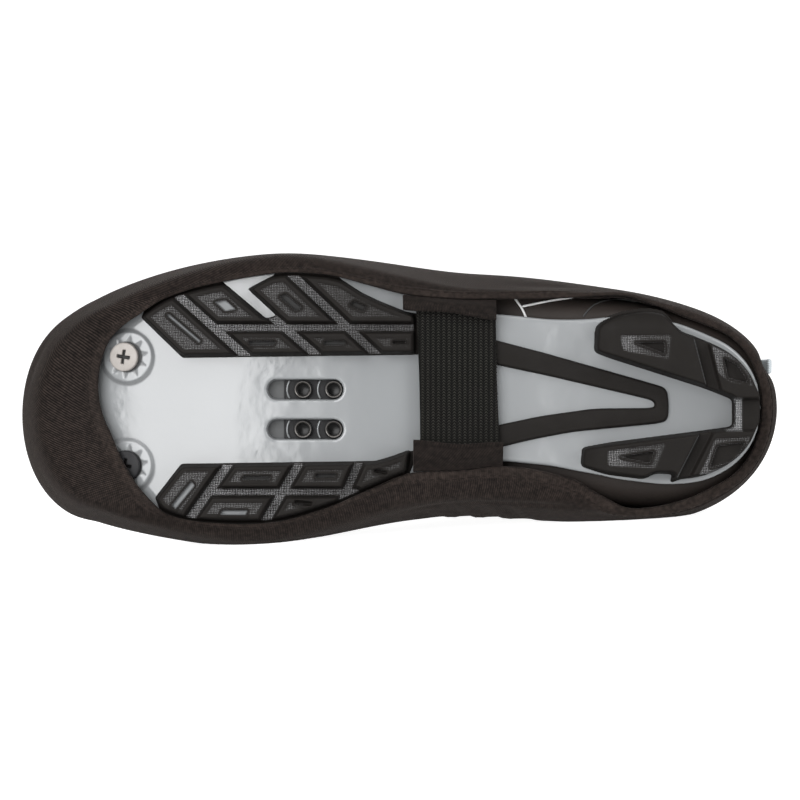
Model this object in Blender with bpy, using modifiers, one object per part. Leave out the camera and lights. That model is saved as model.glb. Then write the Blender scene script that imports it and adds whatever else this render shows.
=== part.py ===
"""Cycling overshoe for a left foot, drawn over the clipless shoe whose sole it leaves open.

The shoe's own frame has X forward from the heel, Y to the lateral side and Z up from the ground under
the lugs. Every size and table is in millimetres in that frame. The parts hang on an empty that lays the
shoe on its medial side on the floor, which is world Z = 0.
"""

import math

import bmesh
import bpy
import numpy as np
from mathutils import Matrix, Vector

MM = 0.001

# Driving sizes
LENGTH = 272.2
TOE_BREAK = 192.0
COLLAR_HEIGHT = 172.0
COVER_WALL = 2.0
BINDING_STEP = 0.7
SHOE_WALL = 1.8
PLATE_THICKNESS = 6.0
INSOLE_THICKNESS = 3.0
INSOLE_INSET = 5.0
GAP = 0.3
LUG_DEPTH = 6.2
TREAD_BASE = 1.5
RECESS_DEPTH = 1.1
CUT_MARGIN = 5.0

# How the shoe lies: yaw and tilt of the floor plane in the shoe's frame, and its distance from the origin
LIE_YAW = math.radians(3.3)
LIE_TILT = math.radians(1.55)
LIE_DISTANCE = 36.9

# Mesh resolution
AROUND_HALF = 28
PLATE_STRIPS = 2
END_POWER = 8
HEEL_SQUARE = 5.4


def table(columns, rows):
    """A small table as one array for each named column."""
    return dict(zip(columns, np.array(rows, float).T))


# Plan of the sole: a centre line that bends with the foot, and half widths about it
SOLE_BACK, SOLE_FRONT = 8.0, 254.0
SOLE = table(
    ("station", "centre", "half"),
    (
        (15, 0.8, 17.8),
        (25, 0.8, 24.5),
        (40, 2.3, 28.6),
        (55, 4.0, 29.0),
        (70, 4.8, 27.0),
        (85, 6.2, 25.8),
        (100, 7.6, 25.9),
        (115, 8.2, 28.0),
        (136, 8.8, 33.8),
        (152, 7.0, 39.2),
        (173, 4.9, 44.6),
        (185, 3.8, 45.2),
        (205, 2.2, 43.0),
        (217, 1.4, 39.6),
        (226, 0.8, 35.2),
        (240, -1.2, 25.2),
        (247, -2.0, 17.5),
    ),
)

# Underside of the sole plate: heel seat, arch, flat cleat bed and toe spring
PLATE = table(
    ("station", "height"),
    (
        (8, 12.5),
        (22, 9.4),
        (30, 9.0),
        (52, 9.0),
        (62, 9.4),
        (78, 10.5),
        (95, 11.4),
        (115, 10.2),
        (135, 7.9),
        (150, 6.5),
        (TOE_BREAK, 6.5),
        (205, 7.5),
        (220, 11.0),
        (240, 17.5),
        (254, 23.0),
    ),
)

# Edge of the cover's opening under the foot; drop is its height against the plate's underside
HEM_BACK, HEM_FRONT = 7.0, 242.3
HEM = table(
    ("station", "centre", "half", "drop"),
    (
        (14, 0.8, 20.8, 2.0),
        (23, 0.7, 27.6, 3.0),
        (33, 0.3, 32.0, 3.5),
        (45, 1.1, 35.9, 3.5),
        (55, 2.4, 37.6, 3.5),
        (65, 4.8, 35.4, 3.0),
        (75, 7.3, 32.3, 1.5),
        (100, 9.3, 29.8, -1.0),
        (116, 8.5, 30.5, -2.0),
        (130, 8.8, 31.3, -2.7),
        (146, 7.7, 36.0, -2.7),
        (162, 6.2, 41.2, -2.7),
        (180, 4.0, 43.7, -2.7),
        (197, 2.4, 42.5, -2.7),
        (217, 1.3, 38.3, -3.2),
        (226, 2.5, 31.7, -5.0),
        (233, 5.3, 24.3, -5.4),
        (238, 8.4, 16.1, -5.4),
    ),
)

# Centre line of the cover's widest ring, which the shaft leaves for its own straight one
FOOT_CURVE = table(
    ("station", "centre"),
    (
        (0, 0.3),
        (28, -0.6),
        (56, 0.8),
        (100, 4.6),
        (135, 5.7),
        (165, 4.7),
        (TOE_BREAK, 2.7),
        (221, 1.4),
        (243, -0.3),
        (256, -1.9),
        (LENGTH, -2.1),
    ),
)
SHAFT_CENTRE = 2.0

# Rings of the cover from the turn under the sole to the collar. Half widths are at the shares of the
# ring's length in WIDTH_SHARES; rise lifts the toe, curve is the share of the foot's curve that it keeps,
# and square says how full its ends are: about 3 for an ankle and 8 for a blunt toe; a heel is never fuller
# than HEEL_SQUARE.
WIDTH_SHARES = (0.12, 0.40, 0.68, 0.90)
RINGS = table(
    ("height", "rise", "back", "front", "heel", "waist", "ball", "toe", "curve", "square"),
    (
        (14, 9, 3.0, 266, 35.6, 38.2, 51.4, 36.8, 1.0, 8.0),
        (28, 7, 0.0, LENGTH, 37.5, 43.5, 52.3, 40.3, 1.0, 8.0),
        (38, 4, 0.0, 270, 38.2, 43.8, 51.2, 38.6, 1.0, 8.0),
        (47, 1, 0.5, 262, 38.0, 43.2, 48.0, 35.8, 0.95, 7.0),
        (55, 0, 1.5, 243, 37.4, 42.4, 43.6, 32.5, 0.85, 6.0),
        (63, 0, 3.0, 216, 36.8, 41.8, 41.3, 29.0, 0.7, 5.0),
        (72, 0, 5.0, 188, 35.6, 41.0, 39.8, 27.0, 0.5, 4.2),
        (86, 0, 7.0, 162, 33.4, 40.2, 38.4, 26.0, 0.2, 3.4),
        (105, 0, 8.0, 140, 31.4, 39.2, 37.2, 25.5, 0.0, 3.0),
        (130, 0, 7.0, 124, 30.4, 38.6, 36.6, 25.5, 0.0, 2.8),
        (155, 0, 5.0, 117, 30.2, 39.0, 36.8, 25.8, 0.0, 2.8),
        (COLLAR_HEIGHT, 0, 4.0, 115, 30.4, 39.4, 37.2, 26.0, 0.0, 2.8),
    ),
)
RING_STEPS = (0, 0.5, 0.78, 1, 1.35, 2, 3, 3.6, 4.2, 5, 6, 7, 8.5, 10)
CUFF_START, CUFF_STEP = 10.3, 0.08
SHOE_STEPS = (1, 2, 3, 3.6, 4.2, 5)
SIDE_OVER_HEM = 6.0
HEM_COVER = 0.6

# Room between cover and shoe along the foot, where the cover bridges the waist
SHOE_ROOM = table(
    ("share", "room"),
    ((0.0, 1.6), (0.12, 2.4), (0.28, 5.2), (0.45, 4.6), (0.60, 1.2), (0.75, 0.7), (1.0, 0.7)),
)

# Turn of the cover under the sole: shares of the way from the hem, and the line of the binding's step
FOLD_STEPS = (0.0, 0.30, 0.37, 0.70)
FOLD_POWER = 0.62
BINDING_ROWS = 2

# Forefoot tread: inner edge, front edge and notch in plan, and grooves as lines with a width
TREAD_CLEARANCE = 1.4
LATERAL_INNER = ((130.2, 19.4), (211.6, 18.3), (226.4, 32.4))
LATERAL_NOTCH = ((196.6, 43.8), (182.2, 31.6), (178.2, 32.8), (188.4, 42.2), (180.4, 46.4))
LATERAL_REAR = ((155.3, 45.0), (148.5, 40.6), (142.1, 37.6), (133.4, 34.2), (130.2, 33.2))
LATERAL_HEM_RUNS = ((224.6, 199.0), (176.0, 160.0))
MEDIAL_INNER = ((221.4, -31.2), (212.0, -19.3), (144.0, -18.3), (139.6, -17.1), (131.6, -14.0))
MEDIAL_HEM_RUN = (133.0, 219.0)
HEM_RUN_STEPS = 4
GROOVE_COLUMNS = ("x0", "y0", "x1", "y1", "width")
LATERAL_GROOVES = (
    (217.1, 43.6, 185.8, 15.5, 2.9),
    (181.0, 33.2, 160.5, 15.5, 2.8),
    (175.3, 49.2, 139.2, 15.0, 2.8),
    (199.5, 28.6, 126.0, 28.6, 2.2),
)
MEDIAL_GROOVES = (
    (193.1, -16.0, 213.0, -44.0, 2.8),
    (168.9, -16.0, 186.5, -46.0, 2.8),
    (148.1, -15.0, 156.5, -34.0, 2.6),
    (203.0, -28.9, 150.0, -28.9, 2.1),
)
# Recess in each lug: centre, size along and across, and turn in degrees; its short sides lean
RECESS_LEAN = 0.25
RECESS_COLUMNS = ("x", "y", "along", "across", "turn")
LATERAL_RECESSES = (
    (210.9, 28.4, 15.0, 3.0, 40),
    (195.8, 36.2, 7.6, 4.4, 36),
    (183.5, 23.1, 9.0, 3.0, 0),
    (173.4, 37.4, 7.6, 3.2, 40),
    (158.1, 23.1, 8.0, 3.0, 0),
    (149.9, 36.0, 6.6, 3.2, 28),
    (135.6, 23.4, 5.0, 2.4, 0),
)
MEDIAL_RECESSES = (
    (211.0, -30.0, 12.0, 3.2, -50),
    (185.3, -23.9, 10.0, 3.0, 0),
    (193.0, -35.8, 9.2, 3.0, 0),
    (161.0, -23.2, 7.6, 3.0, 0),
    (169.2, -32.8, 6.4, 2.6, 8),
    (141.6, -21.4, 5.0, 2.2, 14),
)

# Heel tread: inner edges and front faces of its two arms, joined round the back by a low bridge
HEEL_LATERAL_ARM = ((16.5, 3.3), (29.0, 7.8), (67.3, 20.0), (66.8, 28.9), (64.2, 31.2))
HEEL_LATERAL_FLARE = ((57.0, 33.8), (49.0, 35.0), (43.0, 34.0))
HEEL_MEDIAL_ARM = ((63.7, -22.6), (72.2, -20.4), (71.7, -13.1), (40.5, -9.1), (30.4, -7.8), (16.5, -6.0))
HEEL_MEDIAL_NOTCH = ((40.5, -25.8), (39.2, -22.6), (45.9, -22.3), (49.6, -24.4))
HEEL_REAR_FROM, HEEL_REAR_TO, HEEL_REAR_STEPS = 37.0, 8.9, 7
HEEL_INSET = 1.2
HEEL_GROOVES = (
    (25.0, 4.0, 33.9, 38.0, 3.6),
    (26.2, -4.0, 39.5, -30.0, 3.2),
)
HEEL_GROOVE_LEFT = 3.0
BRIDGE_CUT = (2.0, 22.0, -6.6, 3.0)
BRIDGE_LEFT = 4.0
HEEL_RECESSES = (
    (50.0, 22.5, 12.0, 5.0, 8),
    (19.0, 12.5, 9.0, 6.0, 55),
    (57.5, -16.6, 14.0, 4.4, -5),
    (24.0, -15.5, 11.0, 6.0, -30),
)

# Rubber inlay of the arch: a V whose arms run forward under the strap
ARCH_APEX = (41.2, 2.0)
ARCH_LATERAL_OUTER = ((112.0, 27.0), (85.5, 20.1), (46.0, 8.8))
ARCH_MEDIAL_OUTER = ((44.4, -4.8), (74.4, -7.8), (89.1, -10.6), (112.0, -16.2))
ARCH_MEDIAL_INNER = ((112.0, -8.0), (85.5, -2.4), (67.1, 0.2), (47.6, 0.4))
ARCH_LATERAL_INNER = ((45.8, 1.8), (48.0, 3.5), (83.2, 11.9), (112.0, 18.0))
ARCH_THICKNESS = 1.2

# Cleat slots, the nut plate behind them and the two stud seats at the toe
CLEAT_X, CLEAT_SPACING = 168.6, 14.0
SLOT_LENGTH, SLOT_WIDTH = 26.8, 7.2
NUT_LENGTH, NUT_WIDTH, NUT_THICKNESS = 24.0, 26.0, 2.0
NUT_SHIFT = -4.6
NUT_ROWS = 10.8
NUT_COLLAR_RADIUS, NUT_COLLAR_HEIGHT, NUT_THREAD_RADIUS = 3.1, 2.6, 2.1
NUT_MARGIN = 0.5
STUD_X, STUD_SHIFT, STUD_HALF_SPACING = 231.6, -0.7, 19.2
SEAT_RADIUS, SEAT_STEP = 9.6, 1.0
STUD_HEAD_RADIUS, STUD_HEAD_HEIGHT = 5.1, 1.5
STUD_SHANK_RADIUS, STUD_SHANK_LENGTH = 2.0, 3.5
CROSS_LENGTH, CROSS_WIDTH, CROSS_DEPTH, CROSS_TURN = 5.2, 1.3, 1.0, 0.1

# Strap under the arch and the tabs that it is sewn to
STRAP_REAR, STRAP_FRONT, STRAP_SKEW = 100.6, 128.6, 0.03
STRAP_LATERAL, STRAP_MEDIAL = 33.8, -13.4
STRAP_THICKNESS, STRAP_CLEAR = 1.6, 4.2
TAB_THICKNESS = 1.6
LATERAL_TAB = {"rear": 101.6, "front": 134.2, "inner_rear": 31.4, "inner_front": 35.1}
MEDIAL_TAB = {"rear": 99.2, "front": 130.6, "inner_rear": -11.6, "inner_front": -10.6}
TAB_LENGTH_STEPS, TAB_CROSS_STEPS = 6, 5
TAB_RISE_SHARE = 0.62

# Pull loop on the back seam
LOOP_FULLNESS = 0.7
LOOP_WIDTH, LOOP_THICKNESS = 5.4, 1.3
LOOP_Y, LOOP_LOW, LOOP_HIGH, LOOP_REACH, LOOP_CLEAR = 15.6, 46.0, 69.0, 2.8, 1.8


def smooth_curve(stations, values):
    """A monotone cubic through the points: no overshoot between rows, and flat past the ends."""
    x, y = np.asarray(stations, float), np.asarray(values, float)
    step = np.diff(x)
    slope = np.diff(y) / step
    tangent = np.empty_like(y)
    tangent[0], tangent[-1] = slope[0], slope[-1]
    before, after = 2 * step[1:] + step[:-1], step[1:] + 2 * step[:-1]
    same_way = slope[:-1] * slope[1:] > 0
    safe_before = np.where(same_way, slope[:-1], 1.0)
    safe_after = np.where(same_way, slope[1:], 1.0)
    mean = (before + after) / (before / safe_before + after / safe_after)
    tangent[1:-1] = np.where(same_way, mean, 0.0)

    def at(station):
        q = np.clip(station, x[0], x[-1])
        i = np.clip(np.searchsorted(x, q, side="right") - 1, 0, len(step) - 1)
        t = (q - x[i]) / step[i]
        rise = (3 - 2 * t) * t * t
        lead = t * (1 - t) ** 2 * tangent[i] - t * t * (1 - t) * tangent[i + 1]
        return y[i] + (y[i + 1] - y[i]) * rise + lead * step[i]

    return at


plate_height = smooth_curve(PLATE["station"], PLATE["height"])


def plate_top(station):
    """Height of the plate's upper face, whose thickness is square to the slope."""
    slope = plate_height(station + 0.5) - plate_height(station - 0.5)
    return plate_height(station) + PLATE_THICKNESS * np.sqrt(1 + slope * slope)


foot_curve = smooth_curve(FOOT_CURVE["station"], FOOT_CURVE["centre"])
shoe_room = smooth_curve(SHOE_ROOM["share"], SHOE_ROOM["room"])


def end_round(share, power=END_POWER):
    """Factor that rounds a plan off to nothing at both ends of its length."""
    return np.sqrt(np.maximum(0.0, 1 - np.abs(2 * share - 1) ** power))


def ring_round(share, square):
    """The same factor for a ring of the cover, with its heel kept rounder than its toe."""
    return end_round(share, np.where(share < 0.5, min(square, HEEL_SQUARE), square))


def plan_curves(plan, back, front):
    """Centre and rounded half width of a plan table, as functions of the station."""
    share = (plan["station"] - back) / (front - back)
    centre = smooth_curve(plan["station"], plan["centre"])
    full_half = smooth_curve(plan["station"], plan["half"] / end_round(share))

    def half(station):
        return full_half(station) * end_round((station - back) / (front - back))

    return centre, half


sole_centre, sole_half = plan_curves(SOLE, SOLE_BACK, SOLE_FRONT)
hem_centre, hem_half = plan_curves(HEM, HEM_BACK, HEM_FRONT)
hem_drop = smooth_curve(HEM["station"], HEM["drop"])

# Shares of a ring's length once round: heel, lateral side, toe, medial side
turn = np.linspace(0, 2 * math.pi, 2 * AROUND_HALF, endpoint=False)
ring_share = (1 - np.cos(turn)) / 2
ring_side = np.where(turn <= math.pi, 1.0, -1.0)


def ring_points(x, centre, half, height):
    """A closed ring of points at the shared shares of its length."""
    return np.stack([x, centre + ring_side * half, np.broadcast_to(height, x.shape)], axis=1)


def cover_ring(step):
    """One ring of the cover at a row number of RINGS, which may fall between rows."""
    rows = np.arange(len(RINGS["height"]))
    at = {name: float(smooth_curve(rows, column)(step)) for name, column in RINGS.items()}
    x = at["back"] + (at["front"] - at["back"]) * ring_share
    widths = np.array([at[name] for name in ("heel", "waist", "ball", "toe")])
    full = smooth_curve(WIDTH_SHARES, widths / ring_round(np.array(WIDTH_SHARES), at["square"]))
    centre = foot_curve(x) * at["curve"] + SHAFT_CENTRE * (1 - at["curve"])
    toe_lift = np.clip((x - TOE_BREAK) / (LENGTH - TOE_BREAK), 0, 1) ** 2
    height = at["height"] + at["rise"] * toe_lift
    return ring_points(x, centre, full(ring_share) * ring_round(ring_share, at["square"]), height)


def hem_ring():
    """The edge of the opening under the foot."""
    x = HEM_BACK + (HEM_FRONT - HEM_BACK) * ring_share
    return ring_points(x, hem_centre(x), hem_half(x), plate_height(x) + hem_drop(x))


def outside_hem(ring):
    """A ring moved out where the hem under it would be wider."""
    x = np.clip(ring[:, 0], HEM_BACK, HEM_FRONT)
    edge = ring_side * hem_centre(x) + hem_half(x) + HEM_COVER
    y = ring_side * np.maximum(ring_side * ring[:, 1], edge)
    return np.stack([ring[:, 0], y, ring[:, 2]], axis=1)


def fold_ring(hem, side, share):
    """A ring on the turn from hem to side: a quarter of a superellipse, flat under the sole and then up."""
    angle = share * math.pi / 2
    out = math.sin(angle) ** FOLD_POWER
    up = 1 - math.cos(angle) ** FOLD_POWER
    return hem + (side - hem) * np.array([out, out, up])


def grid_normals(rows):
    """Outward unit normals of a stack of closed rings."""
    around = np.roll(rows, -1, axis=1) - np.roll(rows, 1, axis=1)
    along = np.gradient(rows, axis=0)
    normal = np.cross(around, along)
    return -normal / np.linalg.norm(normal, axis=2, keepdims=True)


def lay_matrix():
    """Rotation that lays the shoe on its medial side, so that the floor plane becomes level."""
    on_side = Matrix.Rotation(math.pi, 3, "Z") @ Matrix.Rotation(math.pi / 2, 3, "X")
    return Matrix.Rotation(-LIE_TILT, 3, "X") @ Matrix.Rotation(LIE_YAW, 3, "Y") @ on_side


def press_on_floor(points):
    """Moves what would be below the floor up on to it, along the floor's normal."""
    up = np.array(lay_matrix().row[2])
    below = np.minimum(0.0, points @ up + LIE_DISTANCE)
    return points - below[..., None] * up


def cover_rows():
    """The cover's outer surface, as rings from the hem to the collar, with both bindings stepped out."""
    hem, side = hem_ring(), outside_hem(cover_ring(RING_STEPS[0]))
    side[:, 2] = np.maximum(side[:, 2], hem[:, 2] + SIDE_OVER_HEM)
    fold = [fold_ring(hem, side, share) for share in FOLD_STEPS]
    upper = [side] + [cover_ring(step) for step in RING_STEPS[1:]]
    cuff = [cover_ring(step) for step in (CUFF_START, CUFF_START + CUFF_STEP, len(RINGS["height"]) - 1)]
    rows = np.array(fold + upper + cuff)
    step_out = np.zeros(len(rows))
    step_out[:BINDING_ROWS] = BINDING_STEP
    step_out[-2:] = BINDING_STEP
    return press_on_floor(rows + grid_normals(rows) * step_out[:, None, None])


def shoe_rows():
    """The shoe's upper inside the cover, from the plate's rim to its own collar."""
    x = SOLE_BACK + (SOLE_FRONT - SOLE_BACK) * ring_share
    rim = ring_points(x, sole_centre(x), sole_half(x), plate_top(x) + GAP)
    cover = np.array([cover_ring(step) for step in SHOE_STEPS])
    inset = COVER_WALL + shoe_room(ring_share)[:, None]
    inside = cover - grid_normals(cover) * inset
    up = np.array(lay_matrix().row[2])
    short = np.minimum(0.0, inside @ up + LIE_DISTANCE - COVER_WALL - 2 * GAP)
    inside = inside - short[..., None] * up
    return np.concatenate([rim[None], inside])


def material(name, colour, roughness, metallic=0.0):
    """A plain Principled finish."""
    made = bpy.data.materials.new(name)
    made.use_nodes = True
    shader = made.node_tree.nodes["Principled BSDF"]
    shader.inputs["Base Color"].default_value = (*colour, 1.0)
    shader.inputs["Roughness"].default_value = roughness
    shader.inputs["Metallic"].default_value = metallic
    return made


def new_object(name, mesh, finish, smooth=True):
    """A mesh as a part of the shoe, parented to the lie empty."""
    obj = bpy.data.objects.new(name, mesh)
    parts.objects.link(obj)
    obj.parent = lie
    if finish:
        mesh.materials.append(finish)
    if smooth:
        mesh.shade_smooth()
        mesh.set_sharp_from_angle(angle=math.radians(35))
    return obj


def mesh_from(name, build):
    """A mesh made by a function that fills a bmesh in millimetres."""
    mesh = bpy.data.meshes.new(name)
    work = bmesh.new()
    build(work)
    bmesh.ops.scale(work, vec=(MM, MM, MM), verts=work.verts)
    work.to_mesh(mesh)
    work.free()
    return mesh


def ring_surface(work, rows):
    """An open surface through a stack of closed rings, facing out."""
    loops = [[work.verts.new(point) for point in row] for row in rows]
    for low, high in zip(loops, loops[1:]):
        for i in range(len(low)):
            j = (i + 1) % len(low)
            work.faces.new((low[j], low[i], high[i], high[j]))


def strip_surface(work, grid):
    """An open surface through a grid of points; points that coincide at its ends are merged."""
    lines = [[work.verts.new(point) for point in line] for line in grid]
    for a, b in zip(lines, lines[1:]):
        for i in range(len(a) - 1):
            work.faces.new((a[i], b[i], b[i + 1], a[i + 1]))
    bmesh.ops.remove_doubles(work, verts=work.verts, dist=1e-4)


def solidify(obj, thickness, offset, even):
    """Gives an open surface its wall: offset -1 grows it inwards and 1 outwards."""
    wall = obj.modifiers.new("wall", "SOLIDIFY")
    wall.thickness = thickness * MM
    wall.offset = offset
    wall.use_even_offset = even


def cut(obj, cutter, operation="DIFFERENCE"):
    """A Boolean with a hidden helper."""
    step = obj.modifiers.new(cutter.name, "BOOLEAN")
    step.operation = operation
    step.object = cutter


def helper(name, mesh):
    """A cutter, kept out of the render and drawn as wire."""
    obj = bpy.data.objects.new(name, mesh)
    cutters.objects.link(obj)
    obj.parent = lie
    obj.hide_render = True
    obj.display_type = "WIRE"
    return obj


def prism(work, outline, low, high, sliced=False):
    """A closed prism over an outline; low and high are heights, or functions of the station.

    A sliced one is cut across at the plate's own stations, so that it follows the plate's curve."""
    base = [work.verts.new((x, y, 0.0)) for x, y in outline]
    bottom = work.faces.new(base)
    lifted = bmesh.ops.extrude_face_region(work, geom=[bottom])
    top = [item for item in lifted["geom"] if isinstance(item, bmesh.types.BMVert)]
    bmesh.ops.translate(work, vec=(0, 0, 1), verts=top)
    made = set(base) | set(top)
    if sliced:
        for x in SOLE_BACK + (SOLE_FRONT - SOLE_BACK) * ring_share[1:AROUND_HALF]:
            faces = [f for f in work.faces if f.verts[0] in made]
            edges = {e for f in faces for e in f.edges}
            cutting = bmesh.ops.bisect_plane(
                work, geom=list(made) + list(edges) + faces, plane_co=(x, 0, 0), plane_no=(1, 0, 0)
            )
            made |= {item for item in cutting["geom_cut"] if isinstance(item, bmesh.types.BMVert)}
    for vert in made:
        limit = high if vert.co.z > 0.5 else low
        vert.co.z = float(limit(vert.co.x)) if callable(limit) else limit
    faces = [f for f in work.faces if f.verts[0] in made]
    faces = bmesh.ops.triangulate(work, faces=faces)["faces"]
    bmesh.ops.recalc_face_normals(work, faces=faces)


def prism_mesh(name, outline, low, high, sliced=False):
    return mesh_from(name, lambda work: prism(work, outline, low, high, sliced))


def line_outline(x0, y0, x1, y1, width):
    """A straight strip in plan."""
    along = Vector((x1 - x0, y1 - y0)).normalized()
    side = Vector((-along.y, along.x)) * width / 2
    start, end = Vector((x0, y0)), Vector((x1, y1))
    return [tuple(p) for p in (start - side, end - side, end + side, start + side)]


def recess_outline(x, y, along, across, turn_degrees):
    """A lozenge in plan: a slanted box with its long side turned."""
    angle = math.radians(turn_degrees)
    forward = Vector((math.cos(angle), math.sin(angle))) * along / 2
    side = Vector((-math.sin(angle) - RECESS_LEAN, math.cos(angle))).normalized() * across / 2
    centre = Vector((x, y))
    rear, front = centre - forward, centre + forward
    return [tuple(p) for p in (rear - side, front - side, front + side, rear + side)]


def box_outline(back, front, medial, lateral):
    """A rectangle in plan."""
    return [(back, medial), (front, medial), (front, lateral), (back, lateral)]


def capsule_outline(centre, length, width, steps=8):
    """A slot with round ends along the shoe."""
    radius = width / 2
    reach = length / 2 - radius
    points = []
    for end, first in ((1, -90), (-1, 90)):
        for k in range(steps + 1):
            angle = math.radians(first + 180 * k / steps)
            x = centre[0] + end * reach + radius * math.cos(angle)
            points.append((x, centre[1] + radius * math.sin(angle)))
    return points


def tread_top(station):
    return plate_height(station) - GAP


def tread_base(station):
    return plate_height(station) - GAP - TREAD_BASE


def tread_ground(station):
    return np.maximum(0.0, plate_height(station) - GAP - LUG_DEPTH)


def hem_edge(start, end, side, steps):
    """Points just inside the cover's hem between two stations."""
    x = np.linspace(start, end, steps)
    return [(float(a), float(hem_centre(a) + side * (hem_half(a) - TREAD_CLEARANCE))) for a in x]


def tread(name, outline, grooves, recesses, finish, groove_floor, ground):
    """A moulded rubber tread: a block under the plate, cut into lugs by grooves, each with a recess."""
    obj = new_object(name, prism_mesh(name, outline, ground, tread_top, True), finish, smooth=False)
    for i, row in enumerate(grooves):
        groove = dict(zip(GROOVE_COLUMNS, row))
        strip = line_outline(**groove)
        cut(obj, helper(f"{name}_groove_{i}", prism_mesh("groove", strip, -CUT_MARGIN, groove_floor, True)))
    for i, row in enumerate(recesses):
        recess = dict(zip(RECESS_COLUMNS, row))
        outline = recess_outline(recess["x"], recess["y"], recess["along"], recess["across"], recess["turn"])
        floor = float(ground(recess["x"])) if callable(ground) else ground
        hollow = prism_mesh("recess", outline, -CUT_MARGIN, floor + RECESS_DEPTH)
        cut(obj, helper(f"{name}_recess_{i}", hollow))
    return obj


def make_cover(finish):
    rows = cover_rows()
    obj = new_object("cover", mesh_from("cover", lambda work: ring_surface(work, rows)), finish)
    solidify(obj, COVER_WALL, -1, even=False)


def make_shoe_upper(finish):
    rows = shoe_rows()
    obj = new_object("shoe_upper", mesh_from("shoe_upper", lambda work: ring_surface(work, rows)), finish)
    solidify(obj, SHOE_WALL, -1, even=False)


def plan_grid(inset, height):
    """The sole's plan, or one inset from it, as a grid of stations and strips at a height along the shoe."""
    share = ring_share[: AROUND_HALF + 1]
    back, front = SOLE_BACK + inset, SOLE_FRONT - inset
    x = back + (front - back) * share
    half = sole_half(x) - inset
    half[[0, -1]] = 0.0
    across = np.linspace(-1, 1, PLATE_STRIPS + 1)
    y = sole_centre(x)[:, None] + half[:, None] * across
    return np.stack(np.broadcast_arrays(x[:, None], y, height(x)[:, None]), axis=2)


def slab(name, grid, thickness, finish):
    """A sheet of even thickness, built up from a grid on its underside."""
    obj = new_object(name, mesh_from(name, lambda work: strip_surface(work, grid)), finish)
    solidify(obj, thickness, 1, even=True)
    return obj


def disc(name, radius, low, high, seat, segments=32):
    """A cylinder on a stud seat's own axis, from low to high along it."""
    def build(work):
        bmesh.ops.create_cone(
            work, cap_ends=True, segments=segments, radius1=radius, radius2=radius, depth=high - low
        )
        bmesh.ops.translate(work, vec=(0, 0, (low + high) / 2), verts=work.verts)
        bmesh.ops.transform(work, matrix=seat, verts=work.verts)
    return mesh_from(name, build)


def stud_seat(side):
    """Frame on the plate's underside at a toe stud: Z points out of the sole."""
    slope = math.atan2(float(plate_height(STUD_X + 1) - plate_height(STUD_X - 1)), 2)
    across = STUD_SHIFT + side * STUD_HALF_SPACING
    place = Matrix.Translation((STUD_X, across, float(plate_height(STUD_X))))
    return place @ Matrix.Rotation(-slope, 4, "Y") @ Matrix.Rotation(math.pi, 4, "X")


def make_sole_plate(finish):
    """Nylon plate: slots for the cleat bolts, a pocket for the nut plate and two raised stud seats."""
    obj = slab("sole_plate", plan_grid(0.0, plate_height), PLATE_THICKNESS, finish)
    bed = float(plate_height(CLEAT_X))
    top = bed + PLATE_THICKNESS
    for side, word in ((1, "lateral"), (-1, "medial")):
        outline = capsule_outline((CLEAT_X, side * CLEAT_SPACING / 2), SLOT_LENGTH, SLOT_WIDTH)
        cut(obj, helper(f"slot_{word}", prism_mesh("slot", outline, bed - CUT_MARGIN, top + CUT_MARGIN)))
        seat = stud_seat(side)
        raised = disc("seat", SEAT_RADIUS, -PLATE_THICKNESS / 3, SEAT_STEP, seat)
        cut(obj, helper(f"seat_{word}", raised), "UNION")
        depth = STUD_SHANK_LENGTH + GAP
        hole = disc("hole", STUD_SHANK_RADIUS + GAP, -depth, SEAT_STEP + CUT_MARGIN, seat, 16)
        cut(obj, helper(f"stud_hole_{word}", hole))
    x = CLEAT_X + NUT_SHIFT
    length, width = NUT_LENGTH / 2 + NUT_MARGIN, NUT_WIDTH / 2 + NUT_MARGIN
    pocket = box_outline(x - length, x + length, -width, width)
    floor = top - NUT_THICKNESS - 2 * GAP
    cut(obj, helper("nut_pocket", prism_mesh("pocket", pocket, floor, top + CUT_MARGIN)))


def make_nut_plate(finish):
    """Steel plate behind the slots with four threaded collars that reach down into them."""
    bed = float(plate_height(CLEAT_X))
    x, top = CLEAT_X + NUT_SHIFT, bed + PLATE_THICKNESS - GAP
    half_length, half_width = NUT_LENGTH / 2, NUT_WIDTH / 2
    outline = box_outline(x - half_length, x + half_length, -half_width, half_width)
    block = prism_mesh("cleat_nut_plate", outline, top - NUT_THICKNESS, top)
    obj = new_object("cleat_nut_plate", block, finish)
    for row in (-1, 1):
        for side in (-1, 1):
            bolt_x, bolt_y = x + row * NUT_ROWS / 2, side * CLEAT_SPACING / 2
            centre = Matrix.Translation((bolt_x, bolt_y, top - NUT_THICKNESS))
            collar = disc("collar", NUT_COLLAR_RADIUS, -NUT_COLLAR_HEIGHT, NUT_THICKNESS / 2, centre, 14)
            cut(obj, helper(f"collar_{row}_{side}", collar), "UNION")
            thread = disc("thread", NUT_THREAD_RADIUS, -CUT_MARGIN, CUT_MARGIN, centre, 14)
            cut(obj, helper(f"thread_{row}_{side}", thread))


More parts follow.
